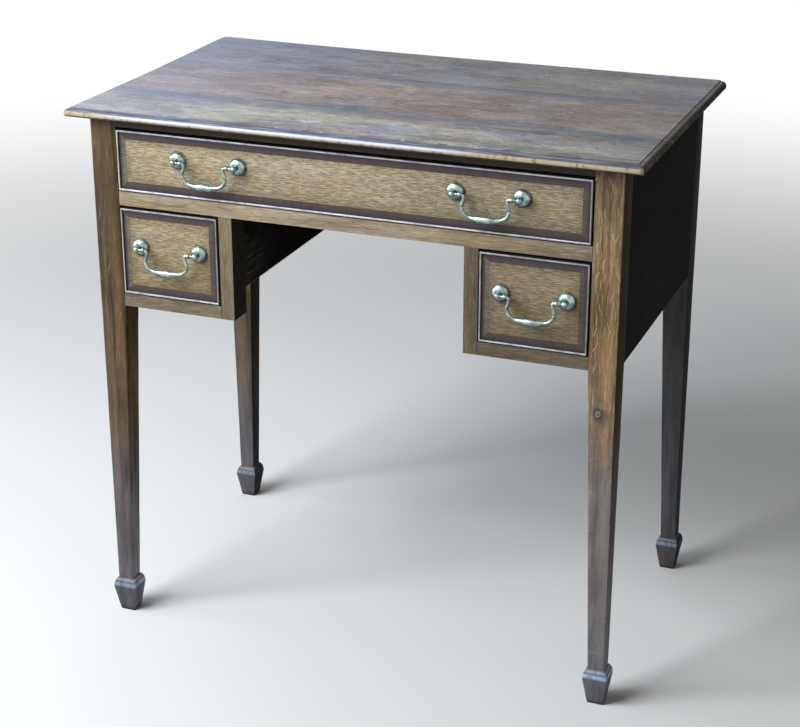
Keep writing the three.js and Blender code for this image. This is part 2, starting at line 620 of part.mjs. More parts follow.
function rodRadius(point) {
  const out = Math.abs(point.x);
  const fromCollar = Math.abs(out - COLLAR_OUT) / COLLAR_HALF_LENGTH;
  if (fromCollar < 1) return PIN_RADIUS + (COLLAR_RADIUS - PIN_RADIUS) * Math.sqrt(1 - fromCollar ** 2);
  if (out > COLLAR_OUT) return PIN_RADIUS;
  const inSwell = out < GRIP_SWELL_OUT && -point.z > GRIP_DROP / 2;
  const swell = inSwell ? (1 + Math.cos((Math.PI * out) / GRIP_SWELL_OUT)) / 2 : 0;
  const rod = THREE.MathUtils.mapLinear(-point.z, 0, GRIP_DROP, NECK_ROD_RADIUS, ROD_RADIUS);
  return rod + (GRIP_RADIUS - ROD_RADIUS) * swell;
}

function bailSolid() {
  const line = bailLine();
  const length = line.getLength();
  const rod = new THREE.CylinderGeometry(ROD_RADIUS, ROD_RADIUS, length, BAIL_SIDES, BAIL_STEPS);
  const position = rod.getAttribute("position");
  const across = new THREE.Vector3(0, 1, 0);
  for (let i = 0; i < position.count; i += 1) {
    const share = THREE.MathUtils.clamp(position.getY(i) / length + 0.5, 0, 1);
    const centre = line.getPointAt(share);
    const outward = new THREE.Vector3().crossVectors(across, line.getTangentAt(share)).normalize();
    const growth = rodRadius(centre) / ROD_RADIUS;
    centre.addScaledVector(outward, -position.getX(i) * growth);
    centre.addScaledVector(across, position.getZ(i) * growth);
    position.setXYZ(i, centre.x, centre.y, centre.z);
  }
  return solid(rod);
}

function addHandle(drawer, name, x, z) {
  const handle = subgroup(drawer, name, x, 0, z);
  const unrounded = (value) => value;
  for (const [sideName, side] of SIDES) {
    const rose = place(handle, name + "_rose_" + sideName, roseSolid(), metal(BRASS), unrounded);
    rose.position.x = (side * BORE_CENTRES) / 2;
    rose.rotation.y = side > 0 ? Math.PI : 0;
  }
  const bail = place(handle, name + "_bail", bailSolid(), metal(BRASS), unrounded);
  bail.position.y = -POMMEL_STANDOFF;
}

const lowboy = new THREE.Group();
lowboy.name = "lowboy";
addTop(lowboy);
addLegs(lowboy);
addCarcase(lowboy);
addRunners(lowboy);

const longHandleOut = BETWEEN_LEGS - DRAWER_SIDE_GAP - LONG_HANDLE_SETBACK;
const longHandles = SIDES.map(([name, side]) => ["long_" + name + "_handle", side * longHandleOut]);
const longOpening = [MIDDLE_RAIL_TOP, LONG_OPENING_TOP];
addDrawer(lowboy, "long_drawer", [-BETWEEN_LEGS, BETWEEN_LEGS], longOpening, LONG_TAILS, longHandles);
for (const [name, side] of SIDES) {
  const openingX = onSide(side, STILE_OUTER, BETWEEN_LEGS);
  const openingZ = [LOWER_RAIL_TOP, MIDDLE_RAIL_BOTTOM];
  const handles = [["small_" + name + "_handle", 0]];
  addDrawer(lowboy, "small_" + name + "_drawer", openingX, openingZ, SMALL_TAILS, handles);
}

export default lowboy;
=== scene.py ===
# Oak kneehole lowboy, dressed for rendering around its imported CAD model. Lengths are in metres.
import json
import math
from functools import partial

import bmesh
import bpy
import numpy as np
from mathutils import Matrix, Vector, noise


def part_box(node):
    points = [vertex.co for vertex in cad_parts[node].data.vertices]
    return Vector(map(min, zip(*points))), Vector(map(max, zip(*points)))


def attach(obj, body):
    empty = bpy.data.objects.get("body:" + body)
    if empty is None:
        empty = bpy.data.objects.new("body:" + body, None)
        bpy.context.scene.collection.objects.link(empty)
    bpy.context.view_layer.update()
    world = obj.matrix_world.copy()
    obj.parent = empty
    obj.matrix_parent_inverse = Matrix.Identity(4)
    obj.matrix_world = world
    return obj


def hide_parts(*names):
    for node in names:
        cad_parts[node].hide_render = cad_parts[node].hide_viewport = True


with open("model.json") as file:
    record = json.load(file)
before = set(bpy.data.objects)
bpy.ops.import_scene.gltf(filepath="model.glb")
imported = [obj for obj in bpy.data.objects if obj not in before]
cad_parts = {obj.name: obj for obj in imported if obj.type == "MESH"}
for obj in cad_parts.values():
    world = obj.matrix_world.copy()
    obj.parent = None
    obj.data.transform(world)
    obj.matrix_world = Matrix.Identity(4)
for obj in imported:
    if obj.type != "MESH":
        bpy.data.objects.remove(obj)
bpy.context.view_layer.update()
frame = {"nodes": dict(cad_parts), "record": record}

SCENE = bpy.context.scene
NODES = frame["nodes"]
SLOTS = {part["node"]: part["material_slot"] for part in frame["record"]["subparts"]}
BODY_OF = {
    node: body
    for body, members in frame["record"]["behaviour"]["bodies"].items()
    for node in members
}

# Camera, fitted to the photograph
CAMERA_PLACE = (0.90124, -2.34844, 1.38366)
CAMERA_YAW = -21.13
CAMERA_PITCH = -21.96
CAMERA_LENS = 83.37
SENSOR = 36

# Sizes repeated from the CAD source
TOP_HALF_WIDTH = 0.4
TOP_HALF_DEPTH = 0.2375
TOP_HEIGHT = 0.772
TOP_THICKNESS = 0.013
TOP_JOINTS = (-0.108, 0.0715)
OVOLO_WIDTH, OVOLO_HEIGHT, OVOLO_RISE = 0.007, 0.007, 0.0045
STEP_WIDTH = 0.0015
NOSE_UNDERCUT = 0.0025
CARCASE_BOTTOM = 0.4895
LEG_SIZE, ANKLE_SIZE = 0.038, 0.023
SPADE_SIZE, SPADE_TOP, SPADE_FILLET = 0.032, 0.043, 0.004
SHOULDER_HEIGHT, SHOULDER_ROUND = 0.011, 0.7
FOOT_SIZE = 0.0225
SPADE_SWELL = 0.0015
FRONT_FACE = -0.2165
FRONT_THICKNESS = 0.02
BEAD_PROUD = 0.0026
BORE_CENTRES = 0.089
ROSE_RADIUS, ROSE_RIM, ROSE_LIP = 0.0124, 0.0008, 0.0003
DOME_HEIGHT, CROWN_RADIUS = 0.0082, 0.003
NECK_RADIUS, NECK_LENGTH, POMMEL_RADIUS = 0.0028, 0.0024, 0.0044
POMMEL_STANDOFF = DOME_HEIGHT + NECK_LENGTH + math.sqrt(POMMEL_RADIUS**2 - NECK_RADIUS**2)
BOLT_RADIUS, BOLT_TAIL, NUT_WIDTH, NUT_HEIGHT = 0.002, 0.002, 0.009, 0.0026
PIN_RADIUS, PIN_GAP, PIN_LENGTH, PIN_END_GAP = 0.0017, 0.00035, 0.0038, 0.0008
COLLAR_RADIUS, COLLAR_HALF, COLLAR_GAP = 0.0034, 0.0028, 0.0028
COLLAR_OUT = BORE_CENTRES / 2 - POMMEL_RADIUS - COLLAR_GAP - COLLAR_HALF
GRIP_DROP, GRIP_RADIUS, GRIP_SWELL_OUT = 0.03, 0.0053, 0.025
ROD_RADIUS, NECK_ROD_RADIUS = 0.0026, 0.0022


def extent(node):
    """The middle of a CAD node's box at rest, and half its size."""
    low, high = (Vector(corner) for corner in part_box(node))
    return (low + high) / 2, (high - low) / 2


def adjusted(thing, **settings):
    for key, value in settings.items():
        setattr(thing, key, value)
    return thing


def linked(name, data):
    """A new object in the scene."""
    made = bpy.data.objects.new(name, data)
    SCENE.collection.objects.link(made)
    return made


# ---- Shader building blocks ----

WHITE = (1, 1, 1)


class Nodes:
    """A node tree whose nodes are added by small calls that return sockets."""

    def __init__(self, tree):
        self.tree = tree
        tree.nodes.clear()

    def node(self, kind, inputs=None, **settings):
        made = adjusted(self.tree.nodes.new(kind), **settings)
        for key, value in (inputs or {}).items():
            self.feed(made.inputs[key], value)
        return made

    def feed(self, socket, value):
        """Sets a socket to a value or links it to one; a colour is three numbers."""
        if isinstance(value, bpy.types.NodeSocket):
            self.tree.links.new(value, socket)
        elif socket.type == "RGBA":
            socket.default_value = (*value, 1)
        else:
            socket.default_value = value

    def math(self, operation, *values, clamp=False):
        made = self.node("ShaderNodeMath", operation=operation, use_clamp=clamp)
        for socket, value in zip(made.inputs, values):
            self.feed(socket, value)
        return made.outputs[0]

    def times(self, first, *others):
        for other in others:
            first = self.math("MULTIPLY", first, other)
        return first

    def minus(self, first, second):
        return self.math("SUBTRACT", first, second)

    def apart(self, first, second):
        return self.math("ABSOLUTE", self.minus(first, second))

    def line(self, value, slope, offset, clamp=False):
        return self.math("MULTIPLY_ADD", value, slope, offset, clamp=clamp)

    def vector_math(self, operation, inputs):
        return self.node("ShaderNodeVectorMath", inputs, operation=operation).outputs

    def scaled(self, vector, factors):
        return self.vector_math("MULTIPLY", {0: vector, 1: factors})[0]

    def moved(self, vector, offset):
        return self.vector_math("ADD", {0: vector, 1: offset})[0]

    def length(self, vector):
        return self.vector_math("LENGTH", {0: vector})["Value"]

    def dimmed(self, color, factor):
        return self.vector_math("SCALE", {0: color, 3: factor})[0]

    def joined(self, *parts):
        """A vector from its parts, in order."""
        return self.node("ShaderNodeCombineXYZ", dict(enumerate(parts))).outputs[0]

    def split(self, vector):
        return self.node("ShaderNodeSeparateXYZ", {0: vector}).outputs

    def place(self, kind="Object"):
        return self.node("ShaderNodeTexCoord").outputs[kind]

    def corner(self, reach):
        """Ambient occlusion over a short reach: 1 in the open and less in a corner."""
        return self.node("ShaderNodeAmbientOcclusion", {"Distance": reach}, samples=6).outputs["AO"]

    def noise(self, vector, scale, detail=2, rough=0.5):
        """Noise of two or three frequencies; the last also holds for the axes beyond it."""
        spread = self.scaled(vector, (*scale, scale[-1])[:3])
        inputs = {"Vector": spread, "Scale": 1, "Detail": detail, "Roughness": rough}
        return self.node("ShaderNodeTexNoise", inputs).outputs[0]

    def ramp(self, value, low, high, start=0, end=1):
        """value spread smoothly over low to high, as start to end."""
        inputs = {"Value": value, 1: low, 2: high, 3: start, 4: end}
        return self.node("ShaderNodeMapRange", inputs, interpolation_type="SMOOTHSTEP").outputs[0]

    def mix(self, factor, first, second, blend="MIX"):
        inputs = {0: factor, 6: first, 7: second}
        return self.node("ShaderNodeMix", inputs, data_type="RGBA", blend_type=blend).outputs[2]

    def strokes(self, flat, cell, length, width, tilt, bend, share, seed=0):
        """Short bent strokes scattered over a plane, about along its first axis: 1 on a stroke.

        There is one stroke in each cell of the given size, and share of them are kept.
        """
        along, across = cell
        spread = self.scaled(self.moved(flat, (seed, seed, 0)), (1 / along, 1 / across, 0))
        inputs = {"Vector": spread, "Scale": 1}
        cells = self.node("ShaderNodeTexVoronoi", inputs, voronoi_dimensions="2D").outputs
        away = self.vector_math("SUBTRACT", {0: spread, 1: cells["Position"]})[0]
        u, v = self.split(self.scaled(away, (along, across, 0)))[:2]
        turn, curve, chance = self.node("ShaderNodeSeparateColor", {0: cells["Color"]}).outputs
        turn = self.line(turn, 2 * tilt, -tilt)
        cosine, sine = self.math("COSINE", turn), self.math("SINE", turn)
        a = self.line(u, cosine, self.times(v, sine))
        b = self.minus(self.times(v, cosine), self.times(u, sine))
        curve = self.line(curve, 2 * bend / length, -bend / length)
        b = self.line(self.times(a, a), curve, b)
        thin = self.ramp(self.math("ABSOLUTE", b), width, width * 0.35)
        short = self.ramp(self.math("ABSOLUTE", a), length, length * 0.6)
        kept = self.math("LESS_THAN", chance, share)
        return self.times(thin, short, kept)

    def seen(self):
        """1 for the rays that show the background: camera, glossy and transmission rays."""
        rays = self.node("ShaderNodeLightPath").outputs
        seen = self.math("MAXIMUM", rays["Is Camera Ray"], rays["Is Glossy Ray"])
        return self.math("MAXIMUM", seen, rays["Is Transmission Ray"])


class Shader(Nodes):
    """The node tree of a new material, whose colour is painted in layers."""

    def __init__(self, name):
        self.material = bpy.data.materials.new(name)
        self.material.use_nodes = True
        super().__init__(self.material.node_tree)

    def surface(self, shader):
        self.node("ShaderNodeOutputMaterial", {"Surface": shader.outputs[0]})
        return self.material

    def paint(self, mask, color):
        self.color = self.mix(mask, self.color, color)

    def tint(self, mask, tint):
        self.paint(mask, self.mix(1, self.color, tint, "MULTIPLY"))

    def dim(self, factor):
        self.color = self.dimmed(self.color, factor)

    def inside(self, x, z, middle, half):
        """How far a place on a front is from its nearer side, and from its nearer end."""
        from_side = self.minus(half.x, self.apart(x, middle.x))
        return from_side, self.minus(half.z, self.apart(z, middle.z))

    def relief(self, strength, reach, height):
        bump = {"Strength": strength, "Distance": reach, "Height": height}
        return self.node("ShaderNodeBump", bump).outputs[0]

    def finish(self, **inputs):
        inputs["Base Color"] = self.color
        return self.surface(self.node("ShaderNodeBsdfPrincipled", inputs))


GRAIN_ORDER = {"x": (0, 1, 2), "y": (1, 0, 2), "z": (2, 0, 1)}
# How far the wood's painted shade and the brass's tarnish reach from a corner, and the depth of the
# relief
WOOD_CORNER, WOOD_RELIEF = 0.012, 0.0003
BRASS_CORNER, BRASS_RELIEF = 0.005, 0.0002


def wood(
    name, light, dark, shift, grain="x", lines=(42, 520), figure=(2.4, 70), contrast=0.5,
    sway=0.0042, patch=0.35, tints=(), rough=0.42, specular=0.5, coat=0, pores=0.4, bump=0.35,
    far_side=None, far_tint=WHITE, extra=None,
):
    """Old polished wood: wavy figure, growth bands, pores, tinted patches and painted shade in
    corners.

    Each tint is a colour, its noise's frequency along and across the grain, the noise value where
    it starts and where it is full, and its strength. The faces that look to the right get painted
    shade and are matt: far_side is how light they are painted at the floor and at the top, and
    far_tint tints that painted shade. rough is the roughness between the pores, on the whole.
    """
    s = Shader(name)
    parts = s.split(s.place())
    space = s.moved(s.joined(*(parts[k] for k in GRAIN_ORDER[grain])), shift)
    drift = s.line(s.noise(space, (18, 45), 1), sway, -sway / 2)
    waved = s.moved(space, s.joined(0, drift, drift))
    fine = s.noise(waved, lines, 2, 0.6)
    bands = s.noise(waved, figure)
    patches = s.noise(space, (5, 14), 4, 0.6)
    pits = s.noise(waved, (150, 2100), 0)
    tone = s.line(s.ramp(fine, 0.32, 0.68), contrast, (1 - contrast) * 0.45)
    tone = s.line(s.ramp(bands, 0.3, 0.7), (1 - contrast) * 0.55, tone, clamp=True)
    s.color = s.mix(tone, dark, light)
    for tint, along, across, start, full, strength in tints:
        cloud = s.noise(waved, (along, across), 3, 0.6)
        s.paint(s.ramp(cloud, start, full, 0, strength), tint)
    s.dim(s.ramp(patches, 0.28, 0.72, 1 - patch, 1 + patch * 0.35))
    pore_mask = s.ramp(pits, 0.6, 0.72, 0, pores)
    s.paint(pore_mask, [c * 0.35 for c in dark])
    if extra:
        extra(s, space, *parts)
    rough = s.line(pore_mask, 0.4, rough + 0.07)
    rough = s.line(s.ramp(patches, 0.3, 0.7), -0.14, rough)
    # Painted shade: the faces that look to the right are darkened and tinted, and made matt
    if far_side:
        facing = s.ramp(s.split(s.place("Normal"))[0], 0.35, 0.85)
        right_shaded = s.dimmed(s.color, s.ramp(parts[2], 0.06, 0.48, *far_side))
        s.paint(facing, s.mix(1, right_shaded, far_tint, "MULTIPLY"))
        rough = s.line(facing, 0.55, rough, clamp=True)
    # Painted shade in the corners, from ambient occlusion
    s.dim(s.ramp(s.corner(WOOD_CORNER), 0.3, 0.92, 0.38, 1))
    height = s.line(patches, 2, s.line(fine, 1, s.times(pore_mask, -1)))
    coating = {"Specular IOR Level": specular, "Coat Weight": coat, "Coat Roughness": 0.22}
    return s.finish(Roughness=rough, Normal=s.relief(bump, WOOD_RELIEF, height), **coating)


def brass():
    """Pale old brass: soft polish, greenish tarnish in the hollows, fine handling marks, and
    painted shade on the faces that look down.
    """
    s = Shader("old_brass")
    place = s.place()
    cloud = s.noise(place, (160, 160), 4, 0.65)
    speck = s.noise(place, (1100, 1100), 1)
    s.color = s.mix(s.ramp(cloud, 0.35, 0.65), BRASS_DARK, BRASS_LIGHT)
    s.paint(s.ramp(speck, 0.64, 0.76, 0, 0.4), BRASS_SPECK)
    s.paint(s.ramp(s.corner(BRASS_CORNER), 0.88, 0.32), TARNISH)
    # Painted shade on the faces that look down, and painted light on those that look up
    s.dim(s.ramp(s.split(s.place("Normal"))[2], -0.85, 0.45, 0.38, 1.08))
    rough = s.ramp(cloud, 0.3, 0.7, 0.33, 0.25)
    return s.finish(Metallic=1, Roughness=rough, Normal=s.relief(0.14, BRASS_RELIEF, cloud))


# ---- Meshes ----


def new_piece(mesh, material, node):
    """A piece with the mesh's name that stands in for a CAD node and moves with its body."""
    piece = linked(mesh.name, mesh)
    mesh.materials.append(material)
    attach(piece, BODY_OF[node])
    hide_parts(node)


def shaded(mesh, sharp):
    """Shades a mesh smooth, except across edges that bend more than sharp, in degrees."""
    mesh.polygons.foreach_set("use_smooth", [True] * len(mesh.polygons))
    mesh.set_sharp_from_angle(angle=math.radians(sharp))
    return mesh


def mesh_from(name, points, faces, sharp=35):
    mesh = bpy.data.meshes.new(name)
    mesh.from_pydata(points, [], faces)
    mesh.validate()
    box = bmesh.new()
    box.from_mesh(mesh)
    bmesh.ops.recalc_face_normals(box, faces=box.faces)
    box.to_mesh(mesh)
    box.free()
    return shaded(mesh, sharp)


# Signs of the corners of a square, in order
CORNERS = ((1, 1), (-1, 1), (-1, -1), (1, -1))


def quarter_turn(count):
    """Share, sine and cosine of even steps through a quarter of a turn."""
    steps = [(i / count, math.pi / 2 * i / count) for i in range(count + 1)]
    return [(share, math.sin(angle), math.cos(angle)) for share, angle in steps]


def skin(rings):
    """Points and faces of a closed skin over rings of equal length, capped at both ends."""
    count = len(rings[0])
    points = [point for ring in rings for point in ring]
    faces = [
        (a + j, a + k, a + count + k, a + count + j)
        for a in range(0, len(points) - count, count)
        for j, k in zip(range(count), [*range(1, count), 0])
    ]
    caps = tuple(range(count))[::-1], tuple(range(len(points) - count, len(points)))
    return points, faces + [*caps]


def smoothing(angle):
    """A node group that shades smooth, except across edges that bend more than angle degrees."""
    tree = bpy.data.node_groups.new("shade_by_angle", "GeometryNodeTree")
    for way in ("INPUT", "OUTPUT"):
        tree.interface.new_socket("Geometry", in_out=way, socket_type="NodeSocketGeometry")
    g = Nodes(tree)
    bend = g.node("GeometryNodeInputMeshEdgeAngle").outputs["Unsigned Angle"]
    start = g.node("NodeGroupInput").outputs[0]
    faces = g.node("GeometryNodeSetShadeSmooth", {"Geometry": start}).outputs[0]
    sharp = {"Geometry": faces, "Shade Smooth": False}
    sharp["Selection"] = g.math("GREATER_THAN", bend, math.radians(angle))
    edges = g.node("GeometryNodeSetShadeSmooth", sharp, domain="EDGE").outputs[0]
    g.node("NodeGroupOutput", {0: edges})
    return tree


SMOOTH_ALL, SMOOTH_SOFT = smoothing(179), smoothing(38)


def soften(piece, width=0, segments=1):
    """Shades a CAD piece and may round its arrises, without touching its mesh."""

    def modify(name, kind, **settings):
        adjusted(piece.modifiers.new(name, kind), **settings)

    modify("weld", "WELD", merge_threshold=1e-6)
    if not width:
        modify("shade", "NODES", node_group=SMOOTH_SOFT)
        return
    modify("flat", "DECIMATE", decimate_type="DISSOLVE", angle_limit=math.radians(0.3))
    limit = {"limit_method": "ANGLE", "angle_limit": math.radians(25)}
    modify("arris", "BEVEL", width=width, segments=segments, **limit)
    modify("shade", "NODES", node_group=SMOOTH_ALL)
    modify("normal", "WEIGHTED_NORMAL", keep_sharp=True)


# Distances from an end at which points are placed near it
CLOSE = (0, 0.0004, 0.0012, 0.0025, 0.004, 0.006)


def spaced(start, end, step):
    """Places from start towards end, close together near both ends; the end itself is left out."""
    length, last = abs(end - start), CLOSE[-1]
    count = round((length - 2 * last) / step)
    middle = [last + (length - 2 * last) * i / count for i in range(1, count)]
    way = [*CLOSE, *middle, *(length - d for d in reversed(CLOSE[1:]))]
    return [start + math.copysign(d, end - start) for d in way]


# ---- Top boards: the moulded edge worn by use, with dents, a notch and a rubbed corner ----

NOTCH_X, NOTCH_WIDTH, NOTCH_DEPTH = 0.228, 0.004, 0.0014
CORNER_ROUND = 0.01
CORNER_LIFT = 0.003
JOINT_EASE = 0.00025
EDGE_WEAR = 0.00055
EDGE_WAVES = ((38, 0.5), (150, 0.35))
BRUISE_RATE, BRUISE_SHIFT, BRUISE_START, BRUISE_DEPTH = 75, Vector((5.1, 2.3, 8.8)), 0.42, 4
EDGE_EASE, NOSE_FOOT, STEP_TAPER = 0.0003, 0.0002, 0.0001
LEVEL_COUNT = 10
FRONT_STEP, SIDE_STEP, BACK_STEP = 0.005, 0.006, 0.02


def edge_levels():
    """Inset and height of the moulding from the underside up, and how much wear reaches it."""
    turns = quarter_turn(LEVEL_COUNT)
    levels = [(NOSE_UNDERCUT + EDGE_EASE, 0, 0.2)]
    for _, sine, cosine in turns:
        rise = NOSE_FOOT + (OVOLO_RISE - NOSE_FOOT) * (1 - cosine)
        levels.append((NOSE_UNDERCUT * (1 - sine), rise, 0.8))
    for share, sine, cosine in turns[1:]:
        rise = OVOLO_RISE + OVOLO_HEIGHT * sine
        levels.append((OVOLO_WIDTH * (1 - cosine), rise, 1 - 0.7 * share))
    foot = OVOLO_RISE + OVOLO_HEIGHT
    step = OVOLO_WIDTH + STEP_WIDTH
    brow = step + STEP_TAPER
    levels += [
        (step - EDGE_EASE, foot + STEP_TAPER, 0.2),
        (step, foot + EDGE_EASE, 0.2),
        (brow, TOP_THICKNESS - EDGE_EASE, 0.5),
        (brow + EDGE_EASE * 0.4, TOP_THICKNESS - EDGE_EASE * 0.4, 0.4),
        (brow + EDGE_EASE, TOP_THICKNESS, 0.2),
    ]
    return [(inset, TOP_HEIGHT - TOP_THICKNESS + rise, wear) for inset, rise, wear in levels]


def edge_dent(x, y, z):
    """How far the moulding is worn in here: soft waves, small bruises and one notch."""
    here = Vector((x, y, z))
    wave = sum(noise.noise(here * rate) * depth for rate, depth in EDGE_WAVES)
    bruise = max(0, noise.noise(here * BRUISE_RATE + BRUISE_SHIFT) - BRUISE_START) * BRUISE_DEPTH
    dent = EDGE_WEAR * (0.5 + wave + bruise)
    if y < 0:
        off = (x - NOTCH_X) / NOTCH_WIDTH
        dent += NOTCH_DEPTH * math.exp(-off * off * 2.2)
    return max(0, dent)


def rub_corner(x, y, rear):
    """The rear left corner of the top is rubbed round."""
    out, back = x + TOP_HALF_WIDTH, rear - y
    if out < CORNER_ROUND and back < CORNER_ROUND:
        away = Vector((CORNER_ROUND - out, CORNER_ROUND - back))
        if away.length > CORNER_ROUND:
            away *= CORNER_ROUND / away.length
            return CORNER_ROUND - away.x - TOP_HALF_WIDTH, rear - CORNER_ROUND + away.y
    return x, y


def cupped(x, y):
    """How far the top has lifted here: only its rear left corner has."""
    out = min(1, max(0, -x / TOP_HALF_WIDTH))
    back = min(1, max(0, y / TOP_HALF_DEPTH))
    return CORNER_LIFT * out * out * back


def top_ring(inset, z, wear, near, far):
    """One level of a board's outline, from its rear left corner round by the front."""
    moulded = near == -TOP_HALF_DEPTH
    ease = JOINT_EASE * max(0, 1 - (TOP_HEIGHT - z) / JOINT_EASE)
    half = TOP_HALF_WIDTH
    front, back = near + (inset if moulded else ease), far - ease
    ring = []

    def add_end(side, start, stop):
        for y in spaced(start, stop, SIDE_STEP):
            reach = half - inset - wear * edge_dent(side * half, y, z)
            ring.append((side * reach, front + (back - front) * (y - near) / (far - near)))

    add_end(-1, far, near)
    for x in spaced(-half, half, FRONT_STEP):
        dent = wear * edge_dent(x, near, z) if moulded else 0
        ring.append((x * (half - inset) / half, front + dent))
    add_end(1, near, far)
    ring += [(x * (half - inset) / half, back) for x in spaced(half, -half, BACK_STEP)]
    if far == TOP_HALF_DEPTH:
        ring = [rub_corner(x - inset, y, back) for x, y in ring]
        ring = [(x + inset, y) for x, y in ring]
    return [(x, y, z + cupped(x, y)) for x, y in ring]


def top_board(node, near, far, material):
    rings = [top_ring(inset, z, wear, near, far) for inset, z, wear in edge_levels()]
    new_piece(mesh_from(node + "_worn", *skin(rings)), material, node)


# ---- Legs: square, tapered inside, with spade feet and hand-worn arrises ----

ARRIS_POINTS = 4
LEG_ARRIS, SPADE_ARRIS = 0.0011, 0.0022
# How far the floor end stands out to the right
LEG_LEAN = {"leg_front_right": 0.0018, "leg_rear_right": 0.0016}
# Height, growth of the half size and arris radius at the sole
SOLE = ((0, -0.0012, 0.0016), (0.0004, -0.0004, 0.002), (0.0012, 0.0001, SPADE_ARRIS))
# Height above the spade's flat and growth of the half size
BRIM = ((0.0018, 0.0001), (0.0034, -0.0001))
SPADE_STEPS, SHOULDER_STEPS, SHAFT_STEPS, HEAD_STEPS = 8, 10, 48, 24
HEAD_ARRIS_SHARE = 0.75
ARRIS_UNEVEN, FACE_WANDER = 0.45, 0.00022


def leg_levels():
    """Height, outer and inner reach from the outer face, and arris radius, from the floor up."""
    centre, spade, foot = ANKLE_SIZE / 2, SPADE_SIZE / 2 + SPADE_SWELL, FOOT_SIZE / 2
    ankle, rise = SPADE_TOP + SHOULDER_HEIGHT, SPADE_TOP - SPADE_FILLET
    levels = [(z, foot + growth, arris) for z, growth, arris in SOLE]
    for i in range(1, SPADE_STEPS + 1):
        share = i / SPADE_STEPS
        levels.append((rise * share, foot + (spade - foot) * share, SPADE_ARRIS))
    levels += [(rise + up, spade + growth, SPADE_ARRIS) for up, growth in BRIM]
    for share, sine, cosine in reversed(quarter_turn(SHOULDER_STEPS)):
        chamfer = (1 - SHOULDER_ROUND) * share
        out = chamfer + SHOULDER_ROUND * sine
        down = chamfer + SHOULDER_ROUND * (1 - cosine)
        arris = LEG_ARRIS + (SPADE_ARRIS - LEG_ARRIS) * out
        half = centre + (spade - centre) * out - 0.0001
        levels.append((ankle - SHOULDER_HEIGHT * down, half, arris))
    rings = [(z, centre - half, centre + half, arris) for z, half, arris in levels]
    for i in range(1, SHAFT_STEPS + 1):
        share = i / SHAFT_STEPS
        z = ankle + (CARCASE_BOTTOM - ankle) * share
        rings.append((z, 0, ANKLE_SIZE + (LEG_SIZE - ANKLE_SIZE) * share, LEG_ARRIS))
    head = TOP_HEIGHT - TOP_THICKNESS - CARCASE_BOTTOM
    for i in range(1, HEAD_STEPS + 1):
        rings.append((CARCASE_BOTTOM + head * i / HEAD_STEPS, 0, LEG_SIZE, LEG_ARRIS))
    return rings


def leg_ring(z, outer, inner, arris, corner, inward, lean):
    """A rounded square; wear makes its arrises and faces slightly uneven."""
    ring = []
    below = z < CARCASE_BOTTOM
    half, middle = (inner - outer) / 2, (inner + outer) / 2
    for quarter, side in enumerate(map(Vector, CORNERS)):
        seed = Vector((corner[0] * 9 + side.x, corner[1] * 9 + side.y, z * 26))
        radius = arris * (1 + ARRIS_UNEVEN * noise.noise(seed)) * (1 if below else HEAD_ARRIS_SHARE)
        wander = noise.noise(seed * 0.7 + Vector((3, 1, 0))) * FACE_WANDER * below
        for i in range(ARRIS_POINTS + 1):
            angle = math.pi / 2 * (quarter + i / ARRIS_POINTS)
            turn = Vector((math.cos(angle), math.sin(angle)))
            local = side * (half - radius) + turn * radius
            x, y = (corner[k] + inward[k] * (middle + local[k] + wander) for k in (0, 1))
            ring.append((x + lean * (1 - min(1, z / CARCASE_BOTTOM)), y, z))
    return ring


def leg(node, material):
    middle, half = extent(node)
    inward = [-1 if place > 0 else 1 for place in middle[:2]]
    flare = (SPADE_SIZE - ANKLE_SIZE) / 2
    corner = [middle[k] - inward[k] * (half[k] - flare) for k in (0, 1)]
    lean = LEG_LEAN.get(node, 0)
    rings = [leg_ring(*level, corner, inward, lean) for level in leg_levels()]
    new_piece(mesh_from(node + "_worn", *skin(rings)), material, node)


# ---- Handles ----

TURN_SIDES, ROD_SIDES, SOCKET_SIDES = 48, 24, 24
ROD_STEPS = 168
PROFILE_STEPS = 16
PIN_TIP_SHARE = 0.8
GRIP_FLAT = 0.008
# Bends of the bail inward from its collar: up from its grip, and down from its pins
GRIP_BENDS = (
    (0.0145, 0.0013), (0.009, 0.0036), (0.005, 0.0072), (0.0031, 0.0114), (0.0028, 0.0148)
)
NECK_BENDS = ((0.0051, 0.0072), (0.0053, 0.0025), (0.0046, 0.00075))
# Growth of the neck's radius and height above the dome
NECK_FOOT = ((0.0001, 0.0003), (0, 0.0009))
RIM_EASE = 0.0002
THREAD_PITCH, THREAD_DEPTH, THREAD_LENGTH, TURN_STEPS = 0.0008, 0.00022, 0.0072, 8
TIP_CHAMFER, TIP_HEIGHT, NUT_CHAMFER = 0.0006, 0.0003, 0.0009
# Inset and height of the nut's levels
NUT_LEVELS = ((0, 0), (0, NUT_HEIGHT - 0.0005), (0.0006, NUT_HEIGHT))


def circle(count):
    """Points evenly spaced round a circle of radius 1."""
    turns = [2 * math.pi * k / count for k in range(count)]
    return [(math.cos(turn), math.sin(turn)) for turn in turns]


def rose_profile():
    """Radius and height above the front: rim, smooth dome, neck and pommel."""
    lip = ROSE_RADIUS - ROSE_LIP
    profile = [(lip, 0), (ROSE_RADIUS, RIM_EASE), (ROSE_RADIUS, ROSE_RIM * 0.6)]
    for _, sine, cosine in quarter_turn(PROFILE_STEPS):
        radius = CROWN_RADIUS + (lip - CROWN_RADIUS) * cosine
        profile.append((radius, ROSE_RIM + (DOME_HEIGHT - ROSE_RIM) * sine))
    profile += [(NECK_RADIUS + flare, DOME_HEIGHT + up) for flare, up in NECK_FOOT]
    join = math.asin(NECK_RADIUS / POMMEL_RADIUS)
    for i in range(PROFILE_STEPS + 1):
        angle = join + (math.pi - join) * i / (PROFILE_STEPS + 1)
        height = POMMEL_STANDOFF - POMMEL_RADIUS * math.cos(angle)
        profile.append((POMMEL_RADIUS * math.sin(angle), height))
    return profile


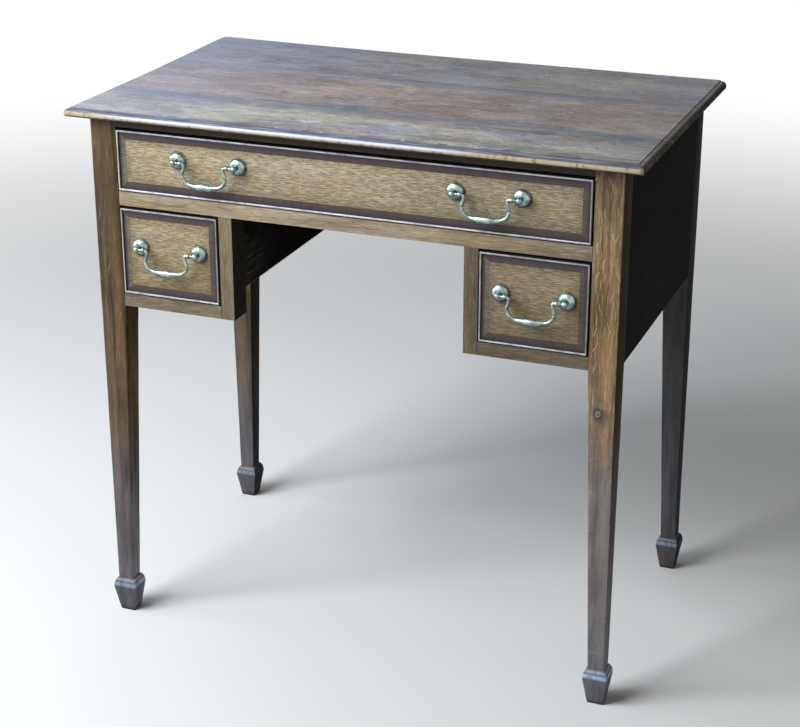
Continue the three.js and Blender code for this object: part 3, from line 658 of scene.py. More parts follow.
def shank_profile():
    """Bolt from its threaded end up to the back of the rose."""
    end = FRONT_THICKNESS + NUT_HEIGHT + BOLT_TAIL
    profile = [(BOLT_RADIUS - TIP_CHAMFER, -end, 0)]
    steps = round(THREAD_LENGTH / THREAD_PITCH * TURN_STEPS)
    for i in range(steps + 1):
        height = TIP_HEIGHT - end + THREAD_LENGTH * i / steps
        ease = min(1, i / TURN_STEPS, (steps - i) / TURN_STEPS)
        profile.append((BOLT_RADIUS, height, ease))
    profile.append((BOLT_RADIUS, 0, 0))
    return profile


def rose_mesh():
    """Turned rose with its threaded bolt and square nut; the front is y = 0 and it faces -y."""
    rings = []
    for radius, height, ease in shank_profile() + [(*level, 0) for level in rose_profile()]:
        ring = []
        for k, (across, up) in enumerate(circle(TURN_SIDES)):
            phase = (height / THREAD_PITCH + k / TURN_SIDES) % 1
            reach = radius - THREAD_DEPTH * ease * (1 - abs(2 * phase - 1))
            ring.append((reach * across, -height, reach * up))
        rings.append(ring)
    turned = mesh_from("rose_turned", *skin(rings), sharp=50)
    reach, depth = PIN_RADIUS + PIN_GAP, PIN_LENGTH + PIN_END_GAP
    hole = [
        [(x, reach * out - POMMEL_STANDOFF, reach * up) for out, up in circle(SOCKET_SIDES)]
        for x in (POMMEL_RADIUS - depth, POMMEL_RADIUS + depth)
    ]
    bored = cut_mesh(turned, mesh_from("socket", *skin(hole)))
    box = bmesh.new()
    for part in (bored, nut_mesh()):
        box.from_mesh(part)
    rose = bpy.data.meshes.new("rose")
    box.to_mesh(rose)
    box.free()
    return shaded(rose, 50)


def cut_mesh(body, cutter):
    """body less cutter, as a new mesh."""
    holder, knife = linked("cut_body", body), linked("cut_knife", cutter)
    cut = {"operation": "DIFFERENCE", "solver": "EXACT", "object": knife}
    adjusted(holder.modifiers.new("cut", "BOOLEAN"), **cut)
    bpy.context.view_layer.update()
    graph = bpy.context.evaluated_depsgraph_get()
    result = bpy.data.meshes.new_from_object(holder.evaluated_get(graph))
    for piece in (holder, knife):
        bpy.data.objects.remove(piece)
    return result


def nut_mesh():
    """Square nut with chamfered corners, standing on the inside of the drawer front."""
    half = NUT_WIDTH / 2
    outline = [(half - NUT_CHAMFER, -half), (half, NUT_CHAMFER - half)]
    for _ in range(3):
        outline += [(-z, x) for x, z in outline[-2:]]
    rings = []
    for inset, height in NUT_LEVELS:
        scale = (half - inset) / half
        rings.append([(x * scale, FRONT_THICKNESS + height, z * scale) for x, z in outline])
    return mesh_from("nut", *skin(rings), sharp=25)


def bail_line():
    """Points of the bail's centre line as distance from the middle and height, left to right."""
    half = [(GRIP_FLAT, GRIP_DROP)]
    half += [(COLLAR_OUT - inward, GRIP_DROP - up) for inward, up in GRIP_BENDS]
    half += [(COLLAR_OUT - inward, drop) for inward, drop in NECK_BENDS]
    half += [(COLLAR_OUT + side * COLLAR_HALF, 0) for side in (-1, 0, 1)]
    half += [(BORE_CENTRES / 2 - POMMEL_RADIUS + PIN_LENGTH, 0)]
    right = [Vector((x, -drop)) for x, drop in half]
    left = [Vector((-x, -drop)) for x, drop in reversed(half)]
    return left + [Vector((0, -GRIP_DROP))] + right


def knotted(points, per_span=40):
    """A centripetal curve through points, as a dense list of places."""
    places = [points[0] * 2 - points[1]] + points + [points[-1] * 2 - points[-2]]
    dense = []
    for i in range(len(places) - 3):
        p0, p1, p2, p3 = places[i : i + 4]
        d0, d1, d2 = (math.sqrt((b - a).length) for a, b in ((p0, p1), (p1, p2), (p2, p3)))
        t1 = ((p1 - p0) / d0 - (p2 - p0) / (d0 + d1) + (p2 - p1) / d1) * d1
        t2 = ((p2 - p1) / d1 - (p3 - p1) / (d1 + d2) + (p3 - p2) / d2) * d1
        for k in range(per_span):
            t = k / per_span
            rise = 3 * t**2 - 2 * t**3
            ends = p1 * (1 - rise) + p2 * rise
            dense.append(ends + t1 * (t**3 - 2 * t**2 + t) + t2 * (t**3 - t**2))
    return dense + [points[-1]]


def evenly(line, count):
    """count + 1 places at equal distances along a dense line."""
    reach = np.cumsum([0] + [(b - a).length for a, b in zip(line, line[1:])])
    goals = np.linspace(0, reach[-1], count + 1)
    x, y = (np.interp(goals, reach, [place[k] for place in line]) for k in (0, 1))
    return [Vector(place) for place in zip(x, y)]


def rod_radius(place):
    out = abs(place.x)
    from_collar = abs(out - COLLAR_OUT) / COLLAR_HALF
    if from_collar < 1:
        return PIN_RADIUS + (COLLAR_RADIUS - PIN_RADIUS) * math.sqrt(1 - from_collar**2)
    if out > COLLAR_OUT:
        return PIN_RADIUS
    in_swell = out < GRIP_SWELL_OUT and -place.y > GRIP_DROP / 2
    swell = (1 + math.cos(math.pi * out / GRIP_SWELL_OUT)) / 2 if in_swell else 0
    rod = NECK_ROD_RADIUS + (ROD_RADIUS - NECK_ROD_RADIUS) * -place.y / GRIP_DROP
    return rod + (GRIP_RADIUS - ROD_RADIUS) * swell


def bail_mesh():
    """Bail hanging from its pins along x, at the origin."""
    line = evenly(knotted(bail_line()), ROD_STEPS)
    rings = []
    for i, place in enumerate(line):
        ahead = line[min(i + 1, len(line) - 1)] - line[max(i - 1, 0)]
        outward = Vector((ahead.y, -ahead.x)).normalized()
        radius = rod_radius(place) * (PIN_TIP_SHARE if i in (0, len(line) - 1) else 1)
        ring = []
        for out, up in circle(ROD_SIDES):
            reach = place + outward * (radius * out)
            ring.append((reach.x, radius * up, reach.y))
        rings.append(ring)
    return mesh_from("bail", *skin(rings), sharp=60)


def add_handles(material):
    rose, bail = rose_mesh(), bail_mesh()
    turned = Matrix.Rotation(math.pi, 4, "Y")
    for node in sorted(NODES):
        if SLOTS[node] != "brass":
            continue
        x, z = extent(node)[0].xz
        if node.endswith("_bail"):
            mesh = bail.copy()
            z = extent(node.replace("_bail", "_rose_left"))[0].z
            place = Matrix.Translation((x, FRONT_FACE - POMMEL_STANDOFF, z))
        else:
            mesh = rose.copy()
            place = Matrix.Translation((x, FRONT_FACE, z))
            if node.endswith("_right"):
                place = place @ turned
        mesh.name = node + "_fine"
        mesh.transform(place)
        new_piece(mesh, material, node)


# ---- Palette ----

# The banding's runs above and below; its side runs are painted paler, standing in for the sheen of
# their grain
BAND_LIGHT, BAND_DARK = (0.086, 0.054, 0.04), (0.052, 0.034, 0.03)
BAND_SIDE_LIGHT, BAND_SIDE_DARK = (0.215, 0.16, 0.108), (0.095, 0.068, 0.05)
FLECK = (0.56, 0.42, 0.19)
ORANGE = (0.34, 0.165, 0.052)
BLUE_BLOOM = (0.15, 0.175, 0.27)
OLIVE_BLOOM = (0.35, 0.335, 0.235)
MAUVE = (0.24, 0.168, 0.15)
UMBER = (0.085, 0.057, 0.046)
JOINT_STAIN = (0.055, 0.068, 0.118)
BARE_JOINT = (0.52, 0.54, 0.58)
TOP_PORE, TOP_FLECK = (0.045, 0.036, 0.042), (0.48, 0.46, 0.42)
TOP_STAIN, TOP_DENT, TOP_SCRATCH = (0.03, 0.034, 0.052), (0.022, 0.018, 0.026), (0.5, 0.5, 0.5)
# Painted light on the top: a bluish sheen to the left and near the front, painted shade at the back
TOP_LEFT_SHEEN = (0.215, 0.24, 0.33)
TOP_NEAR_SHEEN, TOP_AWAY_SHADE = (1.24, 1.38, 1.48), (0.76, 0.88, 1.04)
# The top's moulding: worn tan wood, a painted highlight band, a painted dark reflection with paler
# streaks on the ovolo, and painted shade underneath
WORN_EDGE = (0.52, 0.42, 0.255)
EDGE_HIGHLIGHT = (0.7, 0.73, 0.86)
OVOLO_DARK_REFLECTION = (0.05, 0.055, 0.09)
OVOLO_PALE_REFLECTION = (0.23, 0.255, 0.345)
EDGE_SPOT, UNDER_EDGE_SHADE = (0.15, 0.1, 0.062), (0.04, 0.028, 0.024)
# The top's right end: painted shade, a worn brown lip and pale chips
END_SHADE, END_LIP, END_SPOT = (0.008, 0.008, 0.009), (0.15, 0.12, 0.09), (0.62, 0.48, 0.31)
KNOT_HALO, KNOT_CORE, KNOT_RING = (0.085, 0.055, 0.042), (0.05, 0.034, 0.028), (0.42, 0.38, 0.32)
# Legs: a painted cool reflection on their lower ends, ray flecks and dark streaks
LEG_COOL_REFLECTION, LEG_RAY, LEG_STREAK = (0.16, 0.174, 0.212), (0.42, 0.36, 0.3), (0.06, 0.04, 0.028)
# Painted highlight on the spade's shoulder
SPADE_HIGHLIGHT = (0.42, 0.56, 0.8)
RAIL_BLOOM = (0.268, 0.245, 0.205)
FIELD_BLUSH, FIELD_GREY, FIELD_GOLD = (0.4, 0.315, 0.275), (0.42, 0.4, 0.34), (1.02, 0.86, 0.58)
DASH_LIGHT, DASH_DARK = (0.68, 0.6, 0.42), (0.14, 0.098, 0.058)
# Painted highlight on a bead's nose: cold, and warm where it also stands for rubbed wood
BEAD_COLD_HIGHLIGHT, BEAD_WARM_SHINE_AND_WEAR = (0.78, 0.8, 0.9), (0.76, 0.68, 0.48)
# Painted dark bluish shade on the band next to the bead
BAND_EDGE_SHADE = (0.026, 0.027, 0.05)
PANEL_SCUFF = (0.34, 0.27, 0.19)
# Above 1 because the faces that look to the right are dimmed afterwards by painted shade
KNEE_BARE, KNEE_SCRAPE = (1.15, 1, 0.92), (4.2, 3.6, 3.3)
BRASS_DARK, BRASS_LIGHT = (0.165, 0.24, 0.232), (0.43, 0.545, 0.515)
BRASS_SPECK, TARNISH = (0.06, 0.09, 0.08), (0.03, 0.046, 0.05)

# The banding's inner edge, from the edge of the drawer front, and how far its shade reaches
BAND_REACH, BAND_SHADE = 0.0128, 0.016
# How strong the painted highlight and wear are on a bead's right run
BEAD_RIGHT_SHINE_AND_WEAR = 0.42
# Where the painted highlight on a spade's shoulder lies: above its brim and below its neck
HIGHLIGHT_ABOVE_BRIM, HIGHLIGHT_BELOW_NECK = 0.0015, 0.003
# Zones of the top's moulding: how far down each starts and is full
EDGE_TOP, EDGE_SHINE, EDGE_OVOLO = (0.001, 0.0017), (0.0088, 0.0078), (0.006, 0.0044)
EDGE_UNDERSIDE, END_LIP_DEPTH = (0.0098, 0.0112), (0.0028, 0.0048)
# Stain on both sides of a joint, its dark gap and the strip that is rubbed bare
BEFORE_JOINT, BEYOND_JOINT, JOINT_GAP, JOINT_RUB = (-0.04, -0.008), (0.016, 0.001), 0.0011, 0.0019
# Strokes on the top, as strokes() takes them; pores and flecks have a strength and a colour
TOP_SCRATCHES = (
    ((0.16, 0.07), 0.055, 0.0004, 1.2, 0.25, 0.45, 4.4),
    ((0.05, 0.018), 0.012, 0.0005, 0.35, 0.2, 0.35, 6.1),
)
TOP_DENTS = ((0.09, 0.05), 0.007, 0.0016, 1.2, 0.3, 0.35, 8.5)
TOP_STROKES = (
    (((0.018, 0.005), 0.008, 0.001, 0.1, 0.15, 0.5, 1.9), 0.72, TOP_PORE),
    (((0.026, 0.008), 0.006, 0.001, 0.15, 0.15, 0.35, 5.9), 0.6, TOP_FLECK),
)
# Dark marks on the top: place, half length along the grain, half width and strength
TOP_STAINS = (
    (0.241, -0.132, 0.021, 0.013, 0.95),
    (0.35, -0.12, 0.03, 0.016, 0.88),
    (0.285, 0.07, 0.045, 0.016, 0.72),
    (-0.159, -0.055, 0.004, 0.012, 0.7),
    (-0.31, 0.163, 0.012, 0.003, 0.6),
    (0.008, -0.14, 0.018, 0.003, 0.65),
    (-0.033, -0.087, 0.008, 0.004, 0.7),
    (-0.044, 0.164, 0.007, 0.004, 0.7),
    (0.156, -0.016, 0.005, 0.004, 0.8),
)


def face_space(s, x, y, z):
    """Height first and the horizontal place second, on any upright face."""
    return s.joined(z, s.math("ADD", x, y))


def leg_marks(levels, flecked, knot, s, space, x, y, z):
    """Golden ray flecks, a painted cool reflection on the lower end, a painted highlight on the
    spade shoulder and perhaps one knot.

    levels: the painted light of the leg at its top, at its ankle and in its foot, how bright the
    painted highlight on the shoulder is, and how high the painted cool reflection starts.
    """
    upper, lower, foot, shine, cold = levels
    flat = face_space(s, x, y, z)
    slanted = s.strokes(flat, (0.024, 0.01), 0.009, 0.0006, 0.45, 0.3, flecked, 3.1)
    upright = s.strokes(flat, (0.018, 0.006), 0.008, 0.0005, 0.12, 0.2, flecked + 0.2, 7.7)
    light = s.math("MAXIMUM", s.times(slanted, 0.8), s.times(upright, 0.45))
    light = s.times(light, s.ramp(z, 0.3, 0.5, 0.15, 0.9))
    s.paint(light, FLECK)
    # Painted cool reflection on the lower end
    cool = s.ramp(z, cold, 0.06, 0, 0.74)
    if knot:
        wobble = s.noise(space, (150, 150))
        distance = s.scaled(s.moved(flat, (-knot[1], -knot[0], 0)), (0.9, 1.1, 0))
        distance = s.line(wobble, 0.006, s.minus(s.length(distance), 0.003))
        halo = s.moved(flat, (0.003 - knot[1], -0.005 - knot[0], 0))
        halo = s.line(wobble, 0.01, s.minus(s.length(halo), 0.005))
        s.paint(s.ramp(halo, 0.018, 0.004, 0, 0.6), KNOT_HALO)
        s.paint(s.ramp(distance, 0.0105, 0.0045, 0, 0.85), KNOT_CORE)
        ring = s.ramp(s.apart(distance, 0.0032), 0.0017, 0.0003)
        s.paint(s.times(ring, 0.8), KNOT_RING)
        cool = s.math("MAXIMUM", cool, s.ramp(z, 0.44, 0.32, 0, 0.58))
    s.paint(cool, LEG_COOL_REFLECTION)
    turned = s.joined(s.math("ADD", x, y), z)
    ray = s.strokes(turned, (0.045, 0.034), 0.017, 0.0008, 0.35, 0.6, 0.7, 2.6)
    s.paint(s.times(ray, s.ramp(z, 0.42, 0.36, 0, flecked)), LEG_RAY)
    s.dim(s.ramp(s.noise(space, (9, 50), 4, 0.6), 0.36, 0.64, 0.7, 1.22))
    # Painted light and shade: the leg's lightness at its top, its ankle and its foot
    s.dim(s.ramp(z, 0.05, 0.6, lower, upper))
    s.dim(s.ramp(z, 0.04, 0.052, foot, 1))
    # Painted highlight on the spade's shoulder
    wisp = s.ramp(s.noise(space, (90, 220)), 0.34, 0.58, 0.45, 1)
    brim = s.ramp(s.apart(z, SPADE_TOP + HIGHLIGHT_ABOVE_BRIM), 0.004, 0.0015)
    neck = s.apart(z, SPADE_TOP + SHOULDER_HEIGHT - HIGHLIGHT_BELOW_NECK)
    neck = s.ramp(neck, 0.0024, 0.0006, 0, 0.55)
    s.paint(s.times(s.math("MAXIMUM", brim, neck), wisp, shine), SPADE_HIGHLIGHT)


def rail_marks(grain, level, s, space, x, y, z):
    """Fine ray dashes along the grain; painted light makes the piece lighter to the left, and level
    is the painted light or shade of the whole piece.
    """
    flat = s.joined(x, z) if grain == "x" else face_space(s, x, y, z)
    bloom = s.noise(space, (9, 60), 3, 0.6)
    share = 0.4 if grain == "x" else 0.12
    s.paint(s.ramp(bloom, 0.45, 0.66, 0, share), RAIL_BLOOM)
    # Painted light: lighter to the left
    s.dim(s.ramp(x, -0.3, 0.25, 1.1, 0.94))
    dash = s.strokes(flat, (0.022, 0.006), 0.009, 0.0006, 0.12, 0.1, 0.45, 1.3)
    s.paint(s.times(dash, 0.4), FLECK)
    # Painted light or shade of the whole piece
    s.dim(level)


def field_marks(node, level, s, space, x, y, z):
    """Short wavy dashes of light and dark figure; painted light makes the front lighter to the left
    and above, and painted shade darkens it next to the banding.
    """
    middle, half = extent(node)
    low, high = middle.z - half.z, middle.z + half.z
    flat = s.joined(x, z)
    blush = s.noise(space, (70, 260))
    s.paint(s.ramp(blush, 0.5, 0.7, 0, 0.4), FIELD_BLUSH)
    light = s.strokes(flat, (0.012, 0.0023), 0.0062, 0.00075, 0.08, 0.09, 0.8, 2.2)
    dark = s.strokes(flat, (0.0105, 0.0021), 0.0056, 0.0006, 0.08, 0.09, 0.78, 9.4)
    s.paint(s.times(light, 0.46), DASH_LIGHT)
    s.paint(s.times(dark, 0.8), DASH_DARK)
    # Painted light: lighter above
    s.dim(s.ramp(z, low, high, 0.84 * level, 1.14 * level))
    inside = s.math("MINIMUM", *s.inside(x, z, middle, half))
    # Painted shade next to the banding
    s.dim(s.ramp(inside, BAND_REACH, BAND_REACH + BAND_SHADE, 0.74, 1.02))
    if level < 1:
        s.tint(s.ramp(z, low, high, 0.5, 0.16), FIELD_GOLD)
    # Painted shade towards the right
    s.dim(s.ramp(x, -0.3, 0.32, 1.03, 0.9))


def top_marks(s, space, x, y, z):
    """Scratches, knots and spills on the flat, under a painted sheen to the front and left and
    painted shade to the right and back. The moulding has a painted highlight band between a painted
    dark reflection above and painted shade below; towards its ends it is worn tan and spotted dark,
    and its right end gets painted shade over a worn brown lip.
    """
    flat = s.joined(x, y)
    for stroke, strength, mark in TOP_STROKES:
        s.paint(s.times(s.strokes(flat, *stroke), strength), mark)
    ragged = s.line(s.noise(space, (60, 120), 3, 0.6), 1.6, -0.8)
    for right, back, half_length, half_width, strength in TOP_STAINS:
        away = s.moved(flat, (-right, -back, 0))
        away = s.length(s.scaled(away, (1 / half_length, 1 / half_width, 0)))
        mark = s.ramp(s.math("ADD", away, ragged), 1.15, 0.45, 0, strength)
        s.paint(mark, TOP_STAIN)
    scratches = s.math("MAXIMUM", *(s.strokes(flat, *stroke) for stroke in TOP_SCRATCHES))
    s.paint(s.times(scratches, 0.5), TOP_SCRATCH)
    s.paint(s.times(s.strokes(flat, *TOP_DENTS), 0.8), TOP_DENT)
    cloud, dashes = s.noise(space, (8, 40), 4, 0.6), s.noise(space, (45, 4), 3, 0.6)
    for joint in TOP_JOINTS:
        from_joint = s.minus(y, joint)
        before, beyond = s.ramp(from_joint, *BEFORE_JOINT), s.ramp(from_joint, *BEYOND_JOINT)
        stain = s.times(before, beyond, s.ramp(cloud, 0.34, 0.6, 0.25, 0.85))
        s.paint(stain, JOINT_STAIN)
        gap = s.math("ABSOLUTE", from_joint)
        s.dim(s.ramp(gap, 0, JOINT_GAP, 0.3, 1))
        bare = s.ramp(s.apart(from_joint, JOINT_RUB), 0.0011, 0.0003)
        s.paint(s.times(bare, s.ramp(dashes, 0.5, 0.62, 0, 0.65)), BARE_JOINT)
    # Painted light and shade on the top: lighter to the front left and darker to the right and
    # back, a bluish sheen to the left and near the front, and painted shade at the back
    toward = s.line(x, 0.9, s.times(y, 0.8))
    s.paint(s.ramp(x, -0.02, -0.38, 0, 0.4), TOP_LEFT_SHEEN)
    s.dim(s.ramp(toward, -0.4, 0.42, 1.42, 0.66))
    near = s.times(s.ramp(y, -0.1, -0.2), s.ramp(x, -0.32, 0.02, 0.15, 1))
    s.tint(near, TOP_NEAR_SHEEN)
    s.tint(s.ramp(y, 0.02, 0.2), TOP_AWAY_SHADE)
    down = s.minus(TOP_HEIGHT, z)
    spots = s.noise(space, (130, 130, 60), 3, 0.7)
    tan = s.mix(s.ramp(spots, 0.5, 0.68, 0, 0.75), WORN_EDGE, EDGE_SPOT)
    ends = s.math("MAXIMUM", s.ramp(x, 0.12, 0.2), s.ramp(x, -0.28, -0.37))
    # Painted highlight band on the moulding, worn tan with dark spots towards both ends
    shine = s.mix(ends, EDGE_HIGHLIGHT, tan)
    edge = s.mix(s.ramp(down, *EDGE_SHINE), tan, shine)
    # Painted dark bluish reflection with paler streaks on the upper part of the ovolo
    streak = s.noise(space, (22, 420, 1500), 3, 0.6)
    ovolo = s.mix(s.ramp(streak, 0.48, 0.62, 0, 0.85), OVOLO_DARK_REFLECTION, OVOLO_PALE_REFLECTION)
    edge = s.mix(s.ramp(down, *EDGE_OVOLO, 0, 0.95), edge, ovolo)
    # Painted shade on the moulding's underside
    edge = s.mix(s.ramp(down, *EDGE_UNDERSIDE, 0, 0.9), edge, UNDER_EDGE_SHADE)
    # The right end: painted shade above a worn brown lip with pale chips
    right = s.ramp(s.math("ADD", x, s.times(y, 0.02)), 0.388, 0.393)
    lip = s.times(s.ramp(down, *END_LIP_DEPTH), s.ramp(y, 0.09, -0.02, 0.1, 1))
    end_shade_and_wear = s.mix(lip, END_SHADE, s.mix(s.ramp(spots, 0.54, 0.66), END_LIP, END_SPOT))
    s.paint(s.ramp(down, *EDGE_TOP), s.mix(right, edge, end_shade_and_wear))


def bead_marks(node, top, bottom, left, s, space, x, y, z):
    """The nose of the bead takes a painted highlight, cold above and below and warmer in patches
    and on the side runs, where it also stands for rubbed wood; each run has its own strength of it.
    """
    middle, half = extent(node)
    side = s.math("LESS_THAN", *s.inside(x, z, middle, half))
    flat_run = s.line(s.math("GREATER_THAN", z, middle.z), top - bottom, bottom)
    side_run = s.line(s.math("GREATER_THAN", x, middle.x), BEAD_RIGHT_SHINE_AND_WEAR - left, left)
    wear = s.math("ADD", s.times(side, side_run), s.times(s.minus(1, side), flat_run))
    depth = s.math("DIVIDE", s.minus(y, FRONT_FACE - BEAD_PROUD), wear)
    nose = s.ramp(depth, 0.0009, 0.0001)
    worn = s.ramp(s.noise(space, (60, 60), 3, 0.6), 0.3, 0.62, 0.45, 1)
    warm = s.ramp(s.noise(space, (14, 14)), 0.4, 0.62, 0, 0.5)
    # Colour of the nose: a cold painted highlight, warmer where it also stands for rubbed wood
    rubbed = s.mix(s.math("ADD", warm, s.times(side, 0.5)), BEAD_COLD_HIGHLIGHT, BEAD_WARM_SHINE_AND_WEAR)
    s.paint(s.times(nose, worn, wear), rubbed)


def band_marks(node, s, space, x, y, z):
    """The runs at the sides are painted paler than those above and below, standing in for the sheen
    of their grain, the right one darker with painted shade, and painted shade lies next to the
    bead; all are mitred.
    """
    middle, half = extent(node)
    from_side, from_end = s.inside(x, z, middle, half)
    side = s.math("LESS_THAN", from_side, from_end)
    # The side runs are painted paler than those above and below, standing in for the sheen of their
    # grain
    across = s.noise(space, (45, 200, 380), 3, 0.5)
    pale = s.mix(s.ramp(across, 0.2, 0.8), BAND_SIDE_DARK, BAND_SIDE_LIGHT)
    upright = s.noise(space, (380, 200, 45), 3, 0.5)
    deep = s.mix(s.ramp(upright, 0.2, 0.8), BAND_DARK, BAND_LIGHT)
    seam = s.apart(from_side, from_end)
    # Painted shade on the right side run
    rightmost = s.ramp(x, middle.x - 0.001, middle.x + 0.001)
    pale = s.dimmed(pale, s.line(rightmost, -0.45, 1))
    s.color = s.mix(side, deep, pale)
    # Painted dark bluish shade on the band next to the bead
    near = s.ramp(s.math("MINIMUM", from_side, from_end), 0.007, 0.0015, 0, 0.75)
    s.paint(near, BAND_EDGE_SHADE)
    s.dim(s.ramp(seam, 0, 0.0006, 0.75, 1))


def scuffs(s, space, x, y, z):
    """Pale scratches on the panels."""
    flat = s.joined(s.math("ADD", x, y), z)
    line = s.strokes(flat, (0.07, 0.03), 0.022, 0.0004, 0.9, 0.3, 0.35, 5.5)
    s.paint(s.times(line, 0.3), PANEL_SCUFF)


def reach_marks(s, space, x, y, z):
    """Bare, scraped wood at the front of the kneehole's sides, where hands and knees reach in."""
    reach = s.times(s.ramp(y, -0.05, -0.15), s.ramp(z, 0.63, 0.54, 0.1, 1))
    bare = s.times(reach, s.ramp(s.noise(space, (30, 90), 3, 0.6), 0.35, 0.6, 0.3, 1))
    s.paint(bare, KNEE_BARE)
    line = s.strokes(s.joined(y, z), (0.03, 0.009), 0.02, 0.0012, 0.22, 0.1, 0.5, 5.5)
    s.paint(s.times(line, reach, bare, 0.9), KNEE_SCRAPE)


# Tints of wood() for each board of the top, from the front back
TOP_TINTS = {
    "top_front_board": (
        (MAUVE, 10, 24, 0.46, 0.62, 0.6),
        (OLIVE_BLOOM, 9, 24, 0.45, 0.61, 0.75),
        (BLUE_BLOOM, 7, 22, 0.53, 0.64, 0.55),
        (UMBER, 17, 40, 0.56, 0.67, 0.6),
    ),
    "top_middle_board": (
        (MAUVE, 8, 22, 0.38, 0.54, 0.85),
        (OLIVE_BLOOM, 12, 28, 0.53, 0.65, 0.65),
        (BLUE_BLOOM, 7, 22, 0.55, 0.66, 0.45),
        (UMBER, 16, 38, 0.54, 0.66, 0.65),
    ),
    "top_rear_board": (
        (BLUE_BLOOM, 6, 18, 0.44, 0.6, 0.55),
        (MAUVE, 9, 22, 0.46, 0.6, 0.7),
        (OLIVE_BLOOM, 12, 26, 0.54, 0.67, 0.5),
        (UMBER, 15, 36, 0.54, 0.66, 0.65),
    ),
}
TOP_CUTS = (-TOP_HALF_DEPTH, *TOP_JOINTS, TOP_HALF_DEPTH)
TOP_SPANS = dict(zip(TOP_TINTS, zip(TOP_CUTS, TOP_CUTS[1:])))
# Painted light and shade: how light each rail and each drawer front is made, with painted shadow
# under the top, a painted highlight on the middle rail and painted shade to the right
RAIL_PAINTED_LIGHT = {
    "top_rail": 0.2, "middle_rail": 1.45, "lower_rail_left": 0.95, "lower_rail_right": 0.66,
    "kneehole_stile_left": 0.88, "kneehole_stile_right": 0.64,
}
FIELD_PAINTED_LIGHT = {
    "long_drawer_front": 1, "small_left_drawer_front": 0.86, "small_right_drawer_front": 0.72
}
# Strength of the painted highlight and wear on a bead's top, bottom and left run, on a small
# drawer and on the long one
BEAD_SHINE_AND_WEAR = ((0.6, 0.85, 0.55), (0.8, 1, 0.8))
KNOT = (0.3505 + FRONT_FACE, 0.431)
# Levels of leg_marks(), which are painted light, highlight and reflection; how light the right
# face is painted at the floor and at the top; share of orange, share of flecks and knot
LEGS = {
    "leg_front_left": ((0.48, 0.74, 0.9, 0.45, 0.4), (3.4, 1.4), 0.62, 0.15, None),
    "leg_front_right": ((1.22, 1.08, 0.9, 0.95, 0.54), (1.8, 0.13), 0.36, 0.55, KNOT),
    "leg_rear_left": ((0.52, 0.62, 0.95, 0.35, 0.4), (0.45, 0.12), 0.62, 0.15, None),
    "leg_rear_right": ((0.5, 0.52, 0.95, 0.45, 1), (0.25, 0.05), 0.62, 0.15, None),
}
# Settings of wood() for each material slot and for the legs; far_side and far_tint are painted
# shade on the faces that look to the right
FINISHES = {
    "mahogany_band": dict(
        light=BAND_LIGHT, dark=BAND_DARK, rough=0.4, specular=0.35),
    "bead_timber": dict(
        light=(0.062, 0.05, 0.06), dark=(0.022, 0.017, 0.022), patch=0.3, rough=0.3, coat=0.5,
        pores=0.2),
    "oak_field": dict(
        light=(0.5, 0.405, 0.225), dark=(0.215, 0.155, 0.08), lines=(110, 560), contrast=0.4,
        sway=0.004, patch=0.25, pores=0.5,
        tints=((ORANGE, 14, 60, 0.56, 0.74, 0.35), (FIELD_GREY, 9, 40, 0.5, 0.7, 0.35))),
    "oak_top": dict(
        light=(0.24, 0.2, 0.17), dark=(0.07, 0.056, 0.054), lines=(15, 170), figure=(10, 42),
        contrast=0.74, patch=0.38, rough=0.36, specular=0.18, pores=0.6, bump=0.5,
        far_side=(0.55, 0.55), extra=top_marks),
    "secondary_timber": dict(
        light=(0.33, 0.225, 0.12), dark=(0.16, 0.1, 0.052), rough=0.62, specular=0.3),
    # The side panels: nearly black painted shade on their right faces, tinted blue as a painted
    # reflection
    "oak_side": dict(
        light=(0.24, 0.162, 0.092), dark=(0.095, 0.06, 0.036), patch=0.4, rough=0.55,
        specular=0.06, far_side=(0.17, 0.17), far_tint=(0.6, 0.92, 1.55), extra=scuffs),
    "oak_frame": dict(
        light=(0.33, 0.258, 0.165), dark=(0.105, 0.078, 0.05), specular=0.2,
        far_side=(0.1, 0.1), tints=((ORANGE, 5, 70, 0.5, 0.7, 0.2),)),
    "leg": dict(
        light=(0.315, 0.215, 0.112), dark=(0.1, 0.063, 0.037), grain="z", lines=(22, 560),
        contrast=0.45, specular=0.2),
}
REAR_LEG = dict(light=(0.29, 0.24, 0.17), dark=(0.095, 0.075, 0.06))
# The kneehole board: deeper painted shade on its right face, and scraped wood at its front
KNEE_SIDE = dict(far_tint=(0.33, 0.38, 0.4), extra=reach_marks)
# Width and segments of the rounded arrises
ROUNDING = {
    "oak_field": (0.0002, 1), "secondary_timber": (0.0004, 2),
    "oak_side": (0.0006, 2), "oak_frame": (0.0006, 2),
}
# Each piece's grain starts at another place
GRAIN_SHIFT = (0.37, 0.91, 0.53)


# ---- Dressing every piece ----


